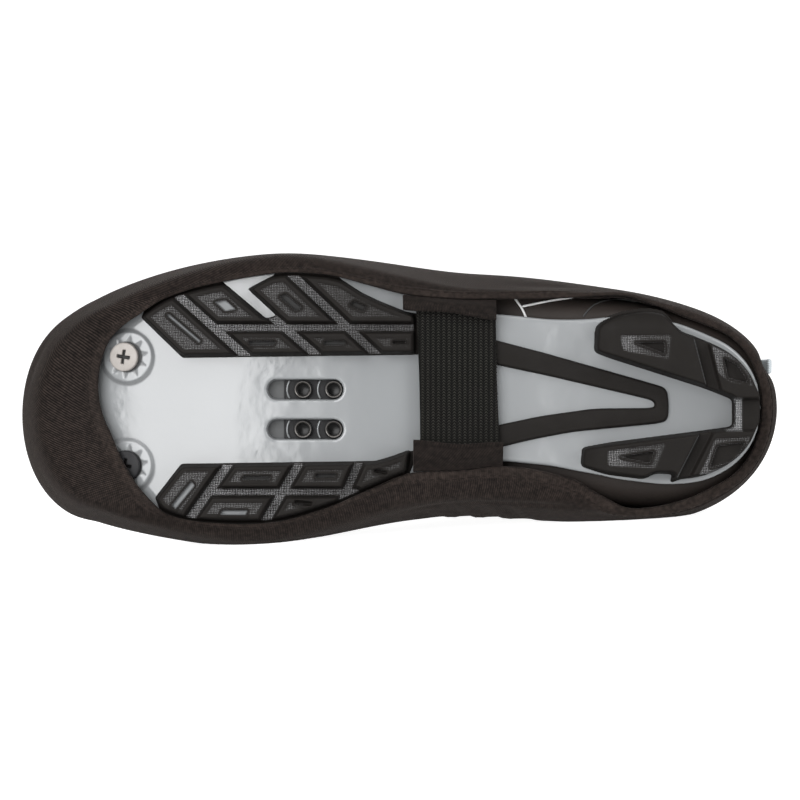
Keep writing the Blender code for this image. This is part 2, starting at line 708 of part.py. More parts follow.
def make_stud(name, side, finish):
    """A cross-head screw in a toe stud seat."""
    seat = stud_seat(side)
    low = SEAT_STEP + GAP
    obj = new_object(name, disc(name, STUD_HEAD_RADIUS, low, low + STUD_HEAD_HEIGHT, seat), finish)
    shank = disc("shank", STUD_SHANK_RADIUS, -STUD_SHANK_LENGTH, low + STUD_HEAD_HEIGHT / 2, seat, 16)
    cut(obj, helper(f"{name}_shank", shank), "UNION")
    for arm in range(2):
        def build(work, quarter=arm):
            bmesh.ops.create_cube(work, size=1.0)
            bmesh.ops.scale(work, vec=(CROSS_LENGTH, CROSS_WIDTH, 2 * CROSS_DEPTH), verts=work.verts)
            lift = Matrix.Translation((0, 0, low + STUD_HEAD_HEIGHT))
            spin = Matrix.Rotation(math.pi / 2 * quarter + CROSS_TURN, 4, "Z")
            bmesh.ops.transform(work, matrix=seat @ lift @ spin, verts=work.verts)
        cut(obj, helper(f"{name}_cross_{arm}", mesh_from("cross", build)))


def make_insole(finish):
    grid = plan_grid(INSOLE_INSET, lambda x: plate_top(x) + 2 * GAP)
    slab("insole", grid, INSOLE_THICKNESS, finish)


def make_forefoot_treads(finish):
    lateral = list(LATERAL_INNER) + hem_edge(*LATERAL_HEM_RUNS[0], 1, HEM_RUN_STEPS) + list(LATERAL_NOTCH)
    lateral += hem_edge(*LATERAL_HEM_RUNS[1], 1, HEM_RUN_STEPS) + list(LATERAL_REAR)
    medial = hem_edge(*MEDIAL_HEM_RUN, -1, 3 * HEM_RUN_STEPS) + list(MEDIAL_INNER)
    levels = (finish, tread_base, tread_ground)
    tread("forefoot_tread_lateral", lateral, LATERAL_GROOVES, LATERAL_RECESSES, *levels)
    tread("forefoot_tread_medial", medial, MEDIAL_GROOVES, MEDIAL_RECESSES, *levels)


def sole_edge(start, end, side, steps):
    """Points just inside the sole's outline between two stations."""
    x = np.linspace(start, end, steps)
    return [(float(a), float(sole_centre(a) + side * max(0.0, sole_half(a) - HEEL_INSET))) for a in x]


def make_heel_tread(finish):
    """Two tall heel lugs joined round the back by a low bridge."""
    lateral_rear = sole_edge(HEEL_REAR_FROM, HEEL_REAR_TO, 1, HEEL_REAR_STEPS)
    medial_rear = sole_edge(HEEL_REAR_TO, HEEL_REAR_FROM, -1, HEEL_REAR_STEPS)
    outline = list(HEEL_LATERAL_ARM) + list(HEEL_LATERAL_FLARE) + lateral_rear + medial_rear
    outline += list(HEEL_MEDIAL_NOTCH) + list(HEEL_MEDIAL_ARM)
    obj = tread("heel_tread", outline, HEEL_GROOVES, HEEL_RECESSES, finish, HEEL_GROOVE_LEFT, 0.0)
    step = box_outline(*BRIDGE_CUT)
    cut(obj, helper("heel_bridge_step", prism_mesh("bridge", step, -CUT_MARGIN, BRIDGE_LEFT)))


def make_arch_strip(finish):
    outline = [ARCH_APEX, *ARCH_MEDIAL_OUTER, *ARCH_MEDIAL_INNER, *ARCH_LATERAL_INNER, *ARCH_LATERAL_OUTER]
    mesh = prism_mesh("arch_strip", outline, lambda x: tread_top(x) - ARCH_THICKNESS, tread_top, True)
    new_object("arch_strip", mesh, finish, smooth=False)


def strap_height(station):
    return plate_height(station) - STRAP_CLEAR


def make_strap(finish):
    """Elastic webbing across the arch, drawn straight from side to side."""
    y = np.linspace(STRAP_MEDIAL, STRAP_LATERAL, 9)
    x = np.linspace(STRAP_REAR, STRAP_FRONT, 7)
    grid = [[(a + STRAP_SKEW * b, b, float(strap_height(a))) for b in y] for a in x]
    slab("strap", grid, STRAP_THICKNESS, finish)


def make_tab(name, tab, side, finish):
    """A folded tab from the hem to the strap, lying outside the strap's end."""
    grid = []
    for k in np.linspace(0, 1, TAB_LENGTH_STEPS + 1):
        x = tab["rear"] + (tab["front"] - tab["rear"]) * k
        inner = tab["inner_rear"] + (tab["inner_front"] - tab["inner_rear"]) * k
        outer = float(hem_centre(x) + side * (hem_half(x) - 2 * GAP))
        outer_height = float(plate_height(x) + hem_drop(x)) - BINDING_STEP
        inner_height = float(strap_height(x)) - 2 * GAP - TAB_THICKNESS
        line = []
        for share in np.linspace(0, 1, TAB_CROSS_STEPS):
            ease = min(1.0, share / TAB_RISE_SHARE)
            height = outer_height + (inner_height - outer_height) * ease
            line.append((x, outer + (inner - outer) * share, height))
        grid.append(line[::-1] if side > 0 else line)
    slab(name, grid, TAB_THICKNESS, finish)


def make_pull_loop(finish):
    """A flat loop of tape that stands off the back of the heel."""
    x_low, x_high = (float(back_of_cover(z)) for z in (LOOP_LOW, LOOP_HIGH))
    bow = []
    for k in np.linspace(0, 1, 9):
        x = x_low + (x_high - x_low) * k
        z = LOOP_LOW + (LOOP_HIGH - LOOP_LOW) * k
        bow.append((x - LOOP_CLEAR - LOOP_THICKNESS - LOOP_REACH * math.sin(math.pi * k) ** LOOP_FULLNESS, z))
    sides = (LOOP_Y - LOOP_WIDTH / 2, LOOP_Y + LOOP_WIDTH / 2)
    grid = [[(x, y, z) for x, z in bow] for y in sides]
    slab("heel_pull_loop", grid, LOOP_THICKNESS, finish)


def back_of_cover(height):
    """Station of the cover's back at the pull loop, at a height on the shaft."""
    steps = np.linspace(0, len(RINGS["height"]) - 1, 60)
    rings = [cover_ring(step) for step in steps]
    lateral = slice(0, AROUND_HALF // 2)
    at_loop = [np.interp(LOOP_Y, ring[lateral, 1], ring[lateral, 0]) for ring in rings]
    return np.interp(height, [ring[0, 2] for ring in rings], at_loop)


def centre_on_origin():
    """Moves the empty so that the parts' box stands on the origin with its bottom centre."""
    bpy.context.view_layer.update()
    graph = bpy.context.evaluated_depsgraph_get()
    corners = []
    for obj in parts.objects:
        done = obj.evaluated_get(graph)
        corners += [done.matrix_world @ vert.co for vert in done.data.vertices]
    low = Vector(map(min, *corners))
    high = Vector(map(max, *corners))
    lie.location.x -= (low.x + high.x) / 2
    lie.location.y -= (low.y + high.y) / 2


for old in list(bpy.data.objects):
    bpy.data.objects.remove(old)
parts = bpy.data.collections.new("overshoe")
cutters = bpy.data.collections.new("cutters")
bpy.context.scene.collection.children.link(parts)
bpy.context.scene.collection.children.link(cutters)
lie = bpy.data.objects.new("lie", None)
bpy.context.scene.collection.objects.link(lie)
lie.rotation_mode = "QUATERNION"
lie.rotation_quaternion = lay_matrix().to_quaternion()
lie.location = (0, 0, LIE_DISTANCE * MM)

softshell = material("softshell", (0.025, 0.021, 0.02), 0.8)
synthetic = material("synthetic", (0.02, 0.02, 0.019), 0.55)
webbing = material("webbing", (0.018, 0.018, 0.016), 0.85)
reflective = material("reflective", (0.36, 0.40, 0.41), 0.4)
nylon = material("nylon", (0.40, 0.42, 0.44), 0.3)
rubber = material("rubber", (0.018, 0.018, 0.017), 0.6)
steel = material("steel", (0.62, 0.59, 0.56), 0.35, 0.9)
black_steel = material("black_steel", (0.03, 0.03, 0.03), 0.4, 0.6)
foam = material("foam", (0.03, 0.03, 0.03), 0.9)

make_cover(softshell)
make_shoe_upper(synthetic)
make_sole_plate(nylon)
make_nut_plate(black_steel)
make_stud("toe_stud_lateral", 1, steel)
make_stud("toe_stud_medial", -1, black_steel)
make_insole(foam)
make_forefoot_treads(rubber)
make_heel_tread(rubber)
make_arch_strip(rubber)
make_strap(webbing)
make_tab("strap_tab_lateral", LATERAL_TAB, 1, softshell)
make_tab("strap_tab_medial", MEDIAL_TAB, -1, softshell)
make_pull_loop(reflective)
centre_on_origin()
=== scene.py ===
"""Looks of a cycling overshoe on its clipless shoe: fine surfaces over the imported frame, finishes and stage.

Shapes are worked out in the shoe's own frame in millimetres, X forward from the heel, Y to the lateral side
and Z up from the ground under the lugs, and are then laid on the medial side as the solids are.
"""
import functools
import math

import bmesh
import bpy
import numpy as np
from bpy.props import FloatProperty, FloatVectorProperty, IntProperty, PointerProperty
from mathutils import Matrix


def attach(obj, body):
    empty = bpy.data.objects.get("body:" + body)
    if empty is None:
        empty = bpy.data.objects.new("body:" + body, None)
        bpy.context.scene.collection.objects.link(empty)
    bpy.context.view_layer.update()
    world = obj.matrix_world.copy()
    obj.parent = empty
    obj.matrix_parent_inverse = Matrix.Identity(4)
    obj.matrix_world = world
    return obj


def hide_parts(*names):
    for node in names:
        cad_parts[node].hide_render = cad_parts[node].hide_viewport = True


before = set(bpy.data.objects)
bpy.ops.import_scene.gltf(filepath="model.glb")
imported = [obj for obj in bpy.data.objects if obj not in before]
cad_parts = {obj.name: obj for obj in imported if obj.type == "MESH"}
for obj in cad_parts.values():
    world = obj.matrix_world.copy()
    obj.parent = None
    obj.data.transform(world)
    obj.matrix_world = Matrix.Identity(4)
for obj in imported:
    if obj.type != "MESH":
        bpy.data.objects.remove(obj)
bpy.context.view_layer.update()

bl_info = {
    "name": "Cycling overshoe",
    "version": (1, 0, 0),
    "blender": (4, 5, 0),
    "location": "View3D > Sidebar > Overshoe",
    "description": "Builds the surfaces, finishes and stage of a cycling overshoe",
    "category": "Object",
}

MM = 0.001
UV_SCALE = 0.01
BODY = "root"
WELD_DISTANCE = 2e-6

# How the shoe lies: yaw and tilt of the floor plane, and where the shoe's origin comes to rest
LIE_YAW, LIE_TILT = math.radians(3.3), math.radians(1.55)
LIE_PLACE = np.array([135.0158, -86.1928, 36.9])


def table(columns, rows):
    """A small table as one array for each named column."""
    return dict(zip(columns, np.array(rows, float).T))


# Plans and heights that the solids share with these surfaces
LENGTH, TOE_BREAK, COLLAR_HEIGHT = 272.2, 192.0, 172.0
PLATE_THICKNESS, INSOLE_THICKNESS, INSOLE_INSET, INSOLE_AROUND, GAP = 6.0, 3.0, 5.0, 240, 0.3
SHOE_WALL = 1.8
SOLE_BACK, SOLE_FRONT = 8.0, 254.0
SOLE = table(
    ("station", "centre", "half"),
    (
        (15, 0.8, 17.8), (25, 0.8, 24.5), (40, 2.3, 28.6), (55, 4.0, 29.0), (70, 4.8, 27.0), (85, 6.2, 25.8),
        (100, 7.6, 25.9), (115, 8.2, 28.0), (136, 8.8, 33.8), (152, 7.0, 39.2), (173, 4.9, 44.6),
        (185, 3.8, 45.2), (205, 2.2, 43.0), (217, 1.4, 39.6), (226, 0.8, 35.2), (240, -1.2, 25.2),
        (247, -2.0, 17.5),
    ),
)
PLATE = table(
    ("station", "height"),
    (
        (8, 12.5), (22, 9.4), (30, 9.0), (52, 9.0), (62, 9.4), (78, 10.5), (95, 11.4), (115, 10.2),
        (135, 7.9), (150, 6.5), (TOE_BREAK, 6.5), (205, 7.5), (220, 11.0), (240, 17.5), (254, 23.0),
    ),
)
HEM_BACK, HEM_FRONT = 7.0, 242.3
HEM = table(
    ("station", "centre", "half", "drop"),
    (
        (14, 0.8, 20.8, 2.0), (23, 0.7, 27.6, 3.0), (33, 0.3, 32.0, 3.5), (45, 1.1, 35.9, 3.5),
        (55, 2.4, 37.6, 3.5), (65, 4.8, 35.4, 3.0), (75, 7.3, 32.3, 1.5), (100, 9.3, 29.8, -1.0),
        (116, 8.5, 30.5, -2.0), (130, 8.8, 31.3, -2.7), (146, 7.7, 36.0, -2.7), (162, 6.2, 41.2, -2.7),
        (180, 4.0, 43.7, -2.7), (197, 2.4, 42.5, -2.7), (217, 1.3, 38.3, -3.2), (226, 2.5, 31.7, -5.0),
        (233, 5.3, 24.3, -5.4), (238, 8.4, 16.1, -5.4),
    ),
)
FOOT_CURVE = table(
    ("station", "centre"),
    (
        (0, 0.3), (28, -0.6), (56, 0.8), (100, 4.6), (135, 5.7), (165, 4.7), (TOE_BREAK, 2.7), (221, 1.4),
        (243, -0.3), (256, -1.9), (LENGTH, -2.1),
    ),
)
SHAFT_CENTRE = 2.0
WIDTH_SHARES = (0.12, 0.40, 0.68, 0.90)
HEEL_SQUARE = 5.4
RINGS = table(
    ("height", "rise", "back", "front", "heel", "waist", "ball", "toe", "curve", "square"),
    (
        (14, 9, 3.0, 266, 35.6, 38.2, 51.4, 36.8, 1.0, 8.0),
        (28, 7, 0.0, LENGTH, 37.5, 43.5, 52.3, 40.3, 1.0, 8.0),
        (38, 4, 0.0, 270, 38.2, 43.8, 51.2, 38.6, 1.0, 8.0),
        (47, 1, 0.5, 262, 38.0, 43.2, 48.0, 35.8, 0.95, 7.0),
        (55, 0, 1.5, 243, 37.4, 42.4, 43.6, 32.5, 0.85, 6.0),
        (63, 0, 3.0, 216, 36.8, 41.8, 41.3, 29.0, 0.7, 5.0),
        (72, 0, 5.0, 188, 35.6, 41.0, 39.8, 27.0, 0.5, 4.2),
        (86, 0, 7.0, 162, 33.4, 40.2, 38.4, 26.0, 0.2, 3.4),
        (105, 0, 8.0, 140, 31.4, 39.2, 37.2, 25.5, 0.0, 3.0),
        (130, 0, 7.0, 124, 30.4, 38.6, 36.6, 25.5, 0.0, 2.8),
        (155, 0, 5.0, 117, 30.2, 39.0, 36.8, 25.8, 0.0, 2.8),
        (COLLAR_HEIGHT, 0, 4.0, 115, 30.4, 39.4, 37.2, 26.0, 0.0, 2.8),
    ),
)

# Cover: its turn over the hem, stations where its flank keeps outside the hem, rings, and edges of its wall
SIDE_OVER_HEM, HEM_COVER, FOLD_POWER, FOLD_END, FOLD_ROWS = 6.0, 0.6, 0.62, 0.97, 30
OUT_START, OUT_FULL, OUT_FADE, OUT_END, OUT_SOFT = HEM_BACK + 8, HEM_BACK + 24, 110.0, 150.0, 0.5
COVER_STEPS = np.r_[np.linspace(0.25, 5, 46), np.linspace(5.15, 10.3, 30), np.linspace(10.36, 11, 9)]
SMOOTH_PASSES, SMOOTH_ROWS = 60, 9.0
CUFF_ROWS, CUFF_SOFT_ROWS = 9.6, 2.0
STITCH_INSET, STITCH_LENGTH, STITCH_RADIUS = 1.0, 1.9, 0.2
STITCH_TAPER = np.array([0.3, 0.85, 1, 1, 1, 0.85, 0.3])
GROOVE_DEPTH, GROOVE_WIDTH = 0.3, 0.35
INNER_EVERY, ROLL_SHARE, ROLL_ANGLES = 5, 0.3, np.radians((35, 90, 145))

# Creases of the cover: both ends in the shoe's frame, half width, and depth, which is negative for a ridge
CREASES = (
    (4, 16.5, 8, 4, 15.5, 40, 4.6, 1.5), (134, -35, 13, 66, -34, 14, 1.8, 0.8),
    (129, -37, 15, 119, -39, 36, 3.2, 0.8), (119, -37, 14, 109, -39, 38, 3.2, 0.9),
    (109, -36, 14, 100, -39, 38, 3.2, 0.9), (99, -36, 15, 89, -39, 36, 3.4, 0.8),
    (124, -37, 15, 114, -39, 36, 3.0, -0.7), (114, -36, 14, 105, -39, 38, 3.0, -0.8),
    (104, -36, 14, 94, -39, 38, 3.0, -0.7), (94, -36, 15, 83, -39, 36, 3.4, -0.6),
    (84, -29, 14, 52, -37, 20, 3.0, 0.8), (72, -33, 16, 40, -36, 24, 3.2, 0.7),
    (96, 43, 18, 70, 41, 24, 3.0, 0.7), (84, 40, 17, 52, 39, 26, 2.6, -0.5),
    (262, -22, 26, 246, -34, 22, 3.2, 0.7), (268, 4, 30, 262, 26, 26, 3.4, 0.6),
    (256, -6, 20, 240, -30, 16, 3.4, 0.6), (150, 36, 64, 130, -30, 74, 4.2, 1.3),
    (138, 37, 74, 120, -32, 84, 4.4, 1.5), (128, 36, 86, 112, -34, 96, 4.2, 1.2),
    (196, 34, 52, 182, -30, 60, 4.0, 0.8), (60, 38, 62, 20, 28, 80, 5.0, 1.1),
    (58, -36, 62, 20, -26, 82, 5.0, 1.1), (44, 37, 84, 14, 20, 96, 4.4, 0.9),
    (110, 40, 50, 80, 42, 66, 5.0, 0.8), (110, 36, 120, 60, 40, 132, 5.0, 0.8),
    (104, 38, 142, 56, 38, 138, 5.0, 0.7), (226, 26, 46, 206, 36, 38, 4.0, 0.7),
    (214, -40, 36, 190, -46, 30, 4.0, 0.5),
)

# Upper of the shoe: its room inside the cover, and its piping and seam at the lateral waist in plan
LATERAL_ROOM, UPPER_AROUND, UPPER_TURN_ROWS = 0.35, 280, 13
UPPER_STEPS = np.linspace(1, 5, 44)
SHOE_ROOM = table(
    ("share", "room"),
    ((0.0, 1.6), (0.12, 2.4), (0.28, 5.2), (0.45, 4.6), (0.60, 1.2), (0.75, 0.7), (1.0, 0.7)),
)
PIPING = (
    ((95.6, 40.8), (93.3, 37.6), (91.8, 35.2), (90.6, 32.4)),
    ((92.2, 36.4), (86.0, 37.7), (80.8, 38.7), (75.0, 39.6), (69.0, 40.9)),
)
SEAMS = (((70.6, 32.6), (68.5, 35.3), (65.4, 37.6), (60.8, 38.9), (56.3, 39.2), (49.9, 38.3)),)
PIPING_RADIUS, SEAM_RADIUS, CORD_DROP, CORD_POINTS, CORD_TIP = 0.4, 0.32, 0.1, 40, 0.02

# Plate: grid lines where the relief is fine, its rounded edge, cleat slots and stud seats
PLATE_X_FINE = ((153.5, 183.5, 0.3), (219.5, 242.5, 0.32))
PLATE_Y_FINE = ((-12.0, 12.0, 0.32), (-29.6, -12.0, 0.36), (12.0, 29.6, 0.36))
PLATE_FLAT, PLATE_EDGE, RIM_LINES, RIM_POWER = 30.0, 1.4, 15, 1.6
PLATE_COARSE_X, PLATE_COARSE_Y, FLAT_SHARE, FLAT_LIMIT = 1.3, 1.4, 0.86, 0.9
CLEAT_X, CLEAT_SPACING, SLOT_LENGTH, SLOT_WIDTH = 168.6, 14.0, 26.8, 7.2
# Slot dish and depth, and stations where the slots' painted shade turns paler past the nut plate
SLOT_DISH, SLOT_DEPTH, SLOT_PALE_FROM, SLOT_PALE_TO = 0.18, 4.4, 175.6, 176.6
STUD_X, STUD_SHIFT, STUD_HALF_SPACING, SEAT_RADIUS, SEAT_STEP = 231.6, -0.7, 19.2, 9.6, 1.0
STAR_POINTS, STAR_RADIUS, STAR_TURN, STAR_TAPER, STAR_DEPTH = 10, 7.7, 0.07, 2.4, 0.15

# Nut plate with its collars, whose profile is radius and height, and the arcs of its flanges, drawn bright as
# a painted highlight on their rims
NUT_LENGTH, NUT_WIDTH, NUT_THICKNESS, NUT_SHIFT, NUT_ROWS = 24.0, 26.0, 2.0, -4.6, 10.8
NUT_BEVEL, POCKET_MARGIN, POCKET_DEPTH = 0.3, 1.0, 0.2
COLLAR = (
    (0.0, -0.6), (3.3, -0.6), (3.3, 2.1), (3.1, 2.35), (2.86, 2.35), (2.8, 2.33), (2.58, 2.12), (2.5, 2.1),
    *((2.3 - 0.16 * (k % 2), 2.0 - 0.28 * k) for k in range(7)), (2.1, 0.12), (0.0, 0.12),
)
# Rows of the collar's profile: the chamfer, kept bright as a painted highlight, and the thread, painted dark
# as shade in the hole; and points round
COLLAR_BRIGHT, COLLAR_THREAD, COLLAR_AROUND = slice(5, 7), slice(8, -2), 48
FLANGE_ARC_RADIUS, FLANGE_ARC_HALF, FLANGE_ARC_DROP, FLANGE_ARC_THICK = 5.6, 0.62, 0.25, 0.38

# Screws of the stud seats: heads, cross, and how far forward they sit
STUD_HEAD_RADIUS, STUD_HEAD_HEIGHT, BLACK_HEAD_RADIUS = 5.1, 1.5, 5.4
HEAD_CROWN, HEAD_OVAL, HEAD_LIFT = 0.25, 1.05, 0.05
HEAD_ROLL_IN = np.array([0.3, 0.12, 0.03, 0, 0])
HEAD_ROLL_DOWN = np.array([0.04, 0.16, 0.36, 0.62, STUD_HEAD_HEIGHT - 0.05])
CROSS_TURN, CROSS_HALF_WIDTH, CROSS_REACH, CROSS_DEPTH = 0.157, 0.72, 2.75, 1.15
STUD_FORWARD, SHANK_SHARE, SHANK_DEPTH = 0.25, 0.4, 3.0

# Treads in plan: edges, runs along the hem, and grooves as lines with a width
LUG_DEPTH, TREAD_BASE, LUG_CLEARANCE, BAND_STEP = 6.2, 1.5, 1.0, 0.55
FLANGE_CLEARANCE, FLANGE_HEIGHT, STRAP_TUCK, TUCK_STATION = -1.8, 0.25, 3.0, 132.0
SKIN_ROOT, SKIN_MARGIN, TREAD_BACK, ARCH_BACK = -1.0, -0.55, 0.6, 0.4
# Stations over which the painted highlight of the beads fades towards the rear, and the share that it keeps
# there
BEAD_FADE, BEAD_FADED = (143.0, 203.0), 0.38
LATERAL_INNER = ((130.2, 19.4), (211.6, 18.3), (226.4, 32.4))
LATERAL_NOTCH = ((196.6, 43.8), (182.2, 31.6), (178.2, 32.8), (188.4, 42.2), (180.4, 46.4))
LATERAL_REAR = ((155.3, 45.0), (148.5, 40.6), (142.1, 37.6), (133.4, 34.2), (130.2, 33.2))
LATERAL_FRONT_RUN, LATERAL_REAR_RUN = (224.6, 199.0, 1, 8), (176.0, 160.0, 1, 8)
MEDIAL_RUN = (133.0, 219.0, -1, 24)
MEDIAL_INNER = ((221.4, -31.2), (212.0, -19.3), (144.0, -18.3), (139.6, -17.1), (131.6, -14.0))
LATERAL_GROOVES = (
    (217.1, 43.6, 185.8, 15.5, 2.9), (181.0, 33.2, 160.5, 15.5, 2.8), (175.3, 49.2, 139.2, 15.0, 2.8),
    (199.5, 28.6, 126.0, 28.6, 2.2),
)
MEDIAL_GROOVES = (
    (193.1, -16.0, 213.0, -44.0, 2.8), (168.9, -16.0, 186.5, -46.0, 2.8), (148.1, -15.0, 156.5, -34.0, 2.6),
    (203.0, -28.9, 150.0, -28.9, 2.1),
)
# Slots of the lugs: centre, size along and across, turn in degrees, lean of the ends, and the painted
# reflection on the floor
LUG_SLOT_DEPTH, LUG_LIP = 1.5, 0.4
LATERAL_SLOTS = (
    (210.9, 28.4, 15.0, 1.2, 40, 0.25, 0.75), (196.2, 36.2, 4.9, 3.9, 42, 3.0, 0.9),
    (183.5, 23.1, 9.0, 1.6, 0, 0.25, 0.1), (173.4, 37.4, 7.6, 2.6, 40, 1.0, 0.1),
    (158.1, 23.2, 7.6, 1.6, 0, 0.25, 0.1), (149.9, 36.1, 5.0, 2.4, 24, 0.6, 0.05),
    (135.6, 23.4, 4.6, 1.2, 0, 0.25, 0.0),
)
MEDIAL_SLOTS = (
    (211.0, -30.0, 11.0, 2.0, -50, 0.25, 0.9), (185.3, -23.9, 9.5, 1.4, 0, 0.45, 0.1),
    (193.2, -36.0, 9.0, 1.9, 0, 0.45, 0.9), (161.2, -23.1, 7.0, 1.5, 0, 0.45, 0.1),
    (169.0, -32.6, 6.0, 1.6, 8, 0.25, 0.0), (142.0, -21.8, 4.4, 1.4, 14, 0.25, 0.0),
)
# Heel tread: outline, grooves, low bridge round the back, and beaded bands with their slots
HEEL_INSET_LATERAL, HEEL_INSET_MEDIAL = 2.7, 1.9
HEEL_LATERAL_ARM = ((18.3, 3.7), (29.0, 7.8), (67.3, 20.0), (66.8, 28.9), (64.2, 31.2))
HEEL_LATERAL_FLARE = ((57.0, 33.8), (49.0, 35.0), (43.0, 34.0))
HEEL_MEDIAL_ARM = ((63.7, -22.6), (72.2, -20.4), (71.7, -13.1), (40.5, -9.1), (30.4, -7.8), (18.3, -6.2))
HEEL_MEDIAL_NOTCH = ((40.5, -25.8), (39.2, -22.6), (45.9, -22.3), (49.6, -24.4))
HEEL_REAR_FROM, HEEL_REAR_TO, HEEL_REAR_STEPS = 37.0, 8.9, 9
HEEL_GROOVES = ((25.0, 4.0, 33.9, 38.0, 3.6), (26.2, -4.0, 39.5, -30.0, 3.2))
HEEL_GROOVE_LEFT, FLARE_FROM, FLARE_BEND, TIP_FROM, TIP_BEND, TIP_POWER = 3.0, 27.5, 0.09, 60.0, 0.11, 1.6
BRIDGE_FRONT, BRIDGE_LATERAL, BRIDGE_MEDIAL = (20.4, 22.0), (3.0, 4.4), (6.6, 8.0)
BRIDGE_LEFT, BRIDGE_BEADS = 4.0, (15.6, 16.0)
HEEL_BANDS = (
    ((58.7, 26.0), (40.6, 26.2), (41.6, 17.4), (57.8, 20.4)),
    ((26.8, 22.6), (20.2, 19.8), (14.4, 14.6), (12.0, 8.0), (20.4, 9.4), (24.4, 12.4)),
    ((63.0, -14.3), (42.5, -11.6), (46.3, -20.8), (63.0, -19.8)),
    ((31.4, -23.2), (28.4, -17.0), (25.8, -10.2), (13.0, -9.2), (14.8, -15.0), (18.8, -19.6), (24.5, -22.8)),
)
HEEL_SLOTS = (
    ((53.4, 23.4), (43.0, 23.6), (42.9, 19.4)),
    ((22.4, 18.0), (18.0, 15.8), (15.0, 11.8), (14.0, 9.2), (21.0, 11.0)),
    ((58.6, -16.6), (46.6, -14.6), (48.2, -18.8)),
    ((27.4, -20.4), (24.7, -12.6), (15.2, -11.4), (16.2, -15.0), (20.1, -18.4)),
)
ARCH_THICKNESS, ARCH_CROWN = 1.2, 0.1
ARCH_OUTLINE = (
    (40.9, 2.0), (41.2, -4.0), (45.6, -5.0), (74.4, -7.8), (89.1, -10.6), (112.0, -16.2), (112.0, -8.0),
    (85.5, -2.4), (67.1, 0.2), (47.0, 0.4), (45.8, 1.0), (45.9, 2.4), (47.4, 3.5), (83.2, 11.9),
    (112.0, 18.0), (112.0, 27.0), (85.5, 20.1), (46.0, 8.8), (41.6, 7.4),
)

# Strap, tabs and pull loop
STRAP_REAR, STRAP_FRONT, STRAP_SKEW, STRAP_WAIST = 100.6, 128.6, 0.03, 0.35
STRAP_LATERAL, STRAP_MEDIAL, STRAP_THICKNESS, STRAP_CLEAR = 36.0, -13.4, 1.6, 4.2
TAB_THICKNESS, TAB_RISE_SHARE, TAB_HEM_DROP, TAB_BOW, TAB_ROLL = 1.6, 0.62, 0.7, 1.1, 0.45
TABS = (
    ("lateral", 1, {"rear": 101.6, "front": 134.2, "inner_rear": 31.4, "inner_front": 35.1}),
    ("medial", -1, {"rear": 99.2, "front": 130.6, "inner_rear": -11.6, "inner_front": -10.6}),
)
LOOP_FULLNESS, LOOP_WIDTH, LOOP_THICKNESS, BACK_AROUND, BACK_RINGS = 0.7, 5.4, 1.3, 112, 60
LOOP_Y, LOOP_LOW, LOOP_HIGH, LOOP_REACH, LOOP_CLEAR = 15.6, 46.0, 69.0, 2.8, 1.8

# Stage in metres: the floor's reach and sweep, soft boxes as place, size and power, and the camera
FLOOR_REACH, SWEEP_FROM, SWEEP_RADIUS, WALL_HEIGHT = 3.0, 1.2, 1.2, 3.2
LIGHT_TARGET = (0.0, -0.06, 0.05)
SOFT_BOXES = {
    "soft_box_left": ((-0.48, -1.08, 0.32), (0.9, 1.1), 21.5),
    "soft_box_top": ((0.1, -0.55, 1.2), (1.4, 0.7), 6.5),
    "soft_box_right": ((1.1, -0.7, 0.6), (0.5, 0.9), 11.0),
    "soft_box_back": ((0.1, 1.1, 0.9), (1.2, 0.8), 4.0),
}
SKY_STRENGTH, CAMERA_LENS, CAMERA_SENSOR, CAMERA_EYE = 0.06, 129.2, 36.0, (135.3, 3.3, -1000.0)


def length_property(label, description, millimetres):
    """A length on the panel."""
    return FloatProperty(name=label, description=description, default=millimetres * MM, unit="LENGTH")


def colour_property(label, description, *value):
    """A colour on the panel."""
    return FloatVectorProperty(
        name=label, description=description, default=value, subtype="COLOR", size=3, min=0, max=1)


class OvershoeSizes(bpy.types.PropertyGroup):
    """Sizes of the soft parts and of the fine relief."""
    cover_wall: length_property("Cover wall", "Thickness of the stretch fabric", 2.0)
    binding_width: length_property("Binding width", "Width of the turned hem", 4.2)
    binding_step: length_property("Binding step", "How far the hem stands out", 0.7)
    stitch_pitch: length_property("Stitch pitch", "Length of one stitch of the hem", 2.7)
    weave_pitch: length_property("Weave pitch", "Distance between the diagonal ribs of the fabric", 0.74)
    knit_pitch: length_property("Strap rib", "Width of one rib of the elastic strap", 1.86)
    bead_pitch: length_property("Bead pitch", "Distance between the beads on the rubber", 0.78)
    lug_frame: length_property("Lug frame", "Width of the plain frame round a lug", 2.4)
    relief_cell: length_property("Relief cell", "Grid size of the moulded rubber", 0.34)
    around: IntProperty(name="Columns", description="Points once round the cover", default=336, min=64)


class OvershoeColours(bpy.types.PropertyGroup):
    """Colours of the finishes."""
    fabric: colour_property("Fabric", "Stretch fabric of the cover", 0.0124, 0.0091, 0.0077)
    upper: colour_property("Upper", "Synthetic leather of the shoe", 0.0270, 0.0215, 0.0190)
    rubber: colour_property("Rubber", "Treads and inlay", 0.0062, 0.0048, 0.0038)
    # Beads: painted highlight, the glint of light on the tips of the beaded rubber
    bead: colour_property("Beads", "Glinting tips of the beaded rubber", 0.44, 0.44, 0.45)
    plate: colour_property("Plate", "Silver nylon of the sole plate", 0.205, 0.213, 0.218)
    webbing: colour_property("Webbing", "Elastic strap", 0.029, 0.028, 0.024)
    tape: colour_property("Tape", "Reflective pull loop", 0.60, 0.66, 0.69)
    piping: colour_property("Piping", "Piping of the shoe's upper", 0.78, 0.78, 0.78)
    steel: colour_property("Steel", "Plated screw", 0.31, 0.288, 0.27)
    black_steel: colour_property("Black steel", "Blackened screw and nut plate", 0.022, 0.022, 0.023)
    lining: colour_property("Insole", "Brushed cover of the insole", 0.035, 0.035, 0.036)


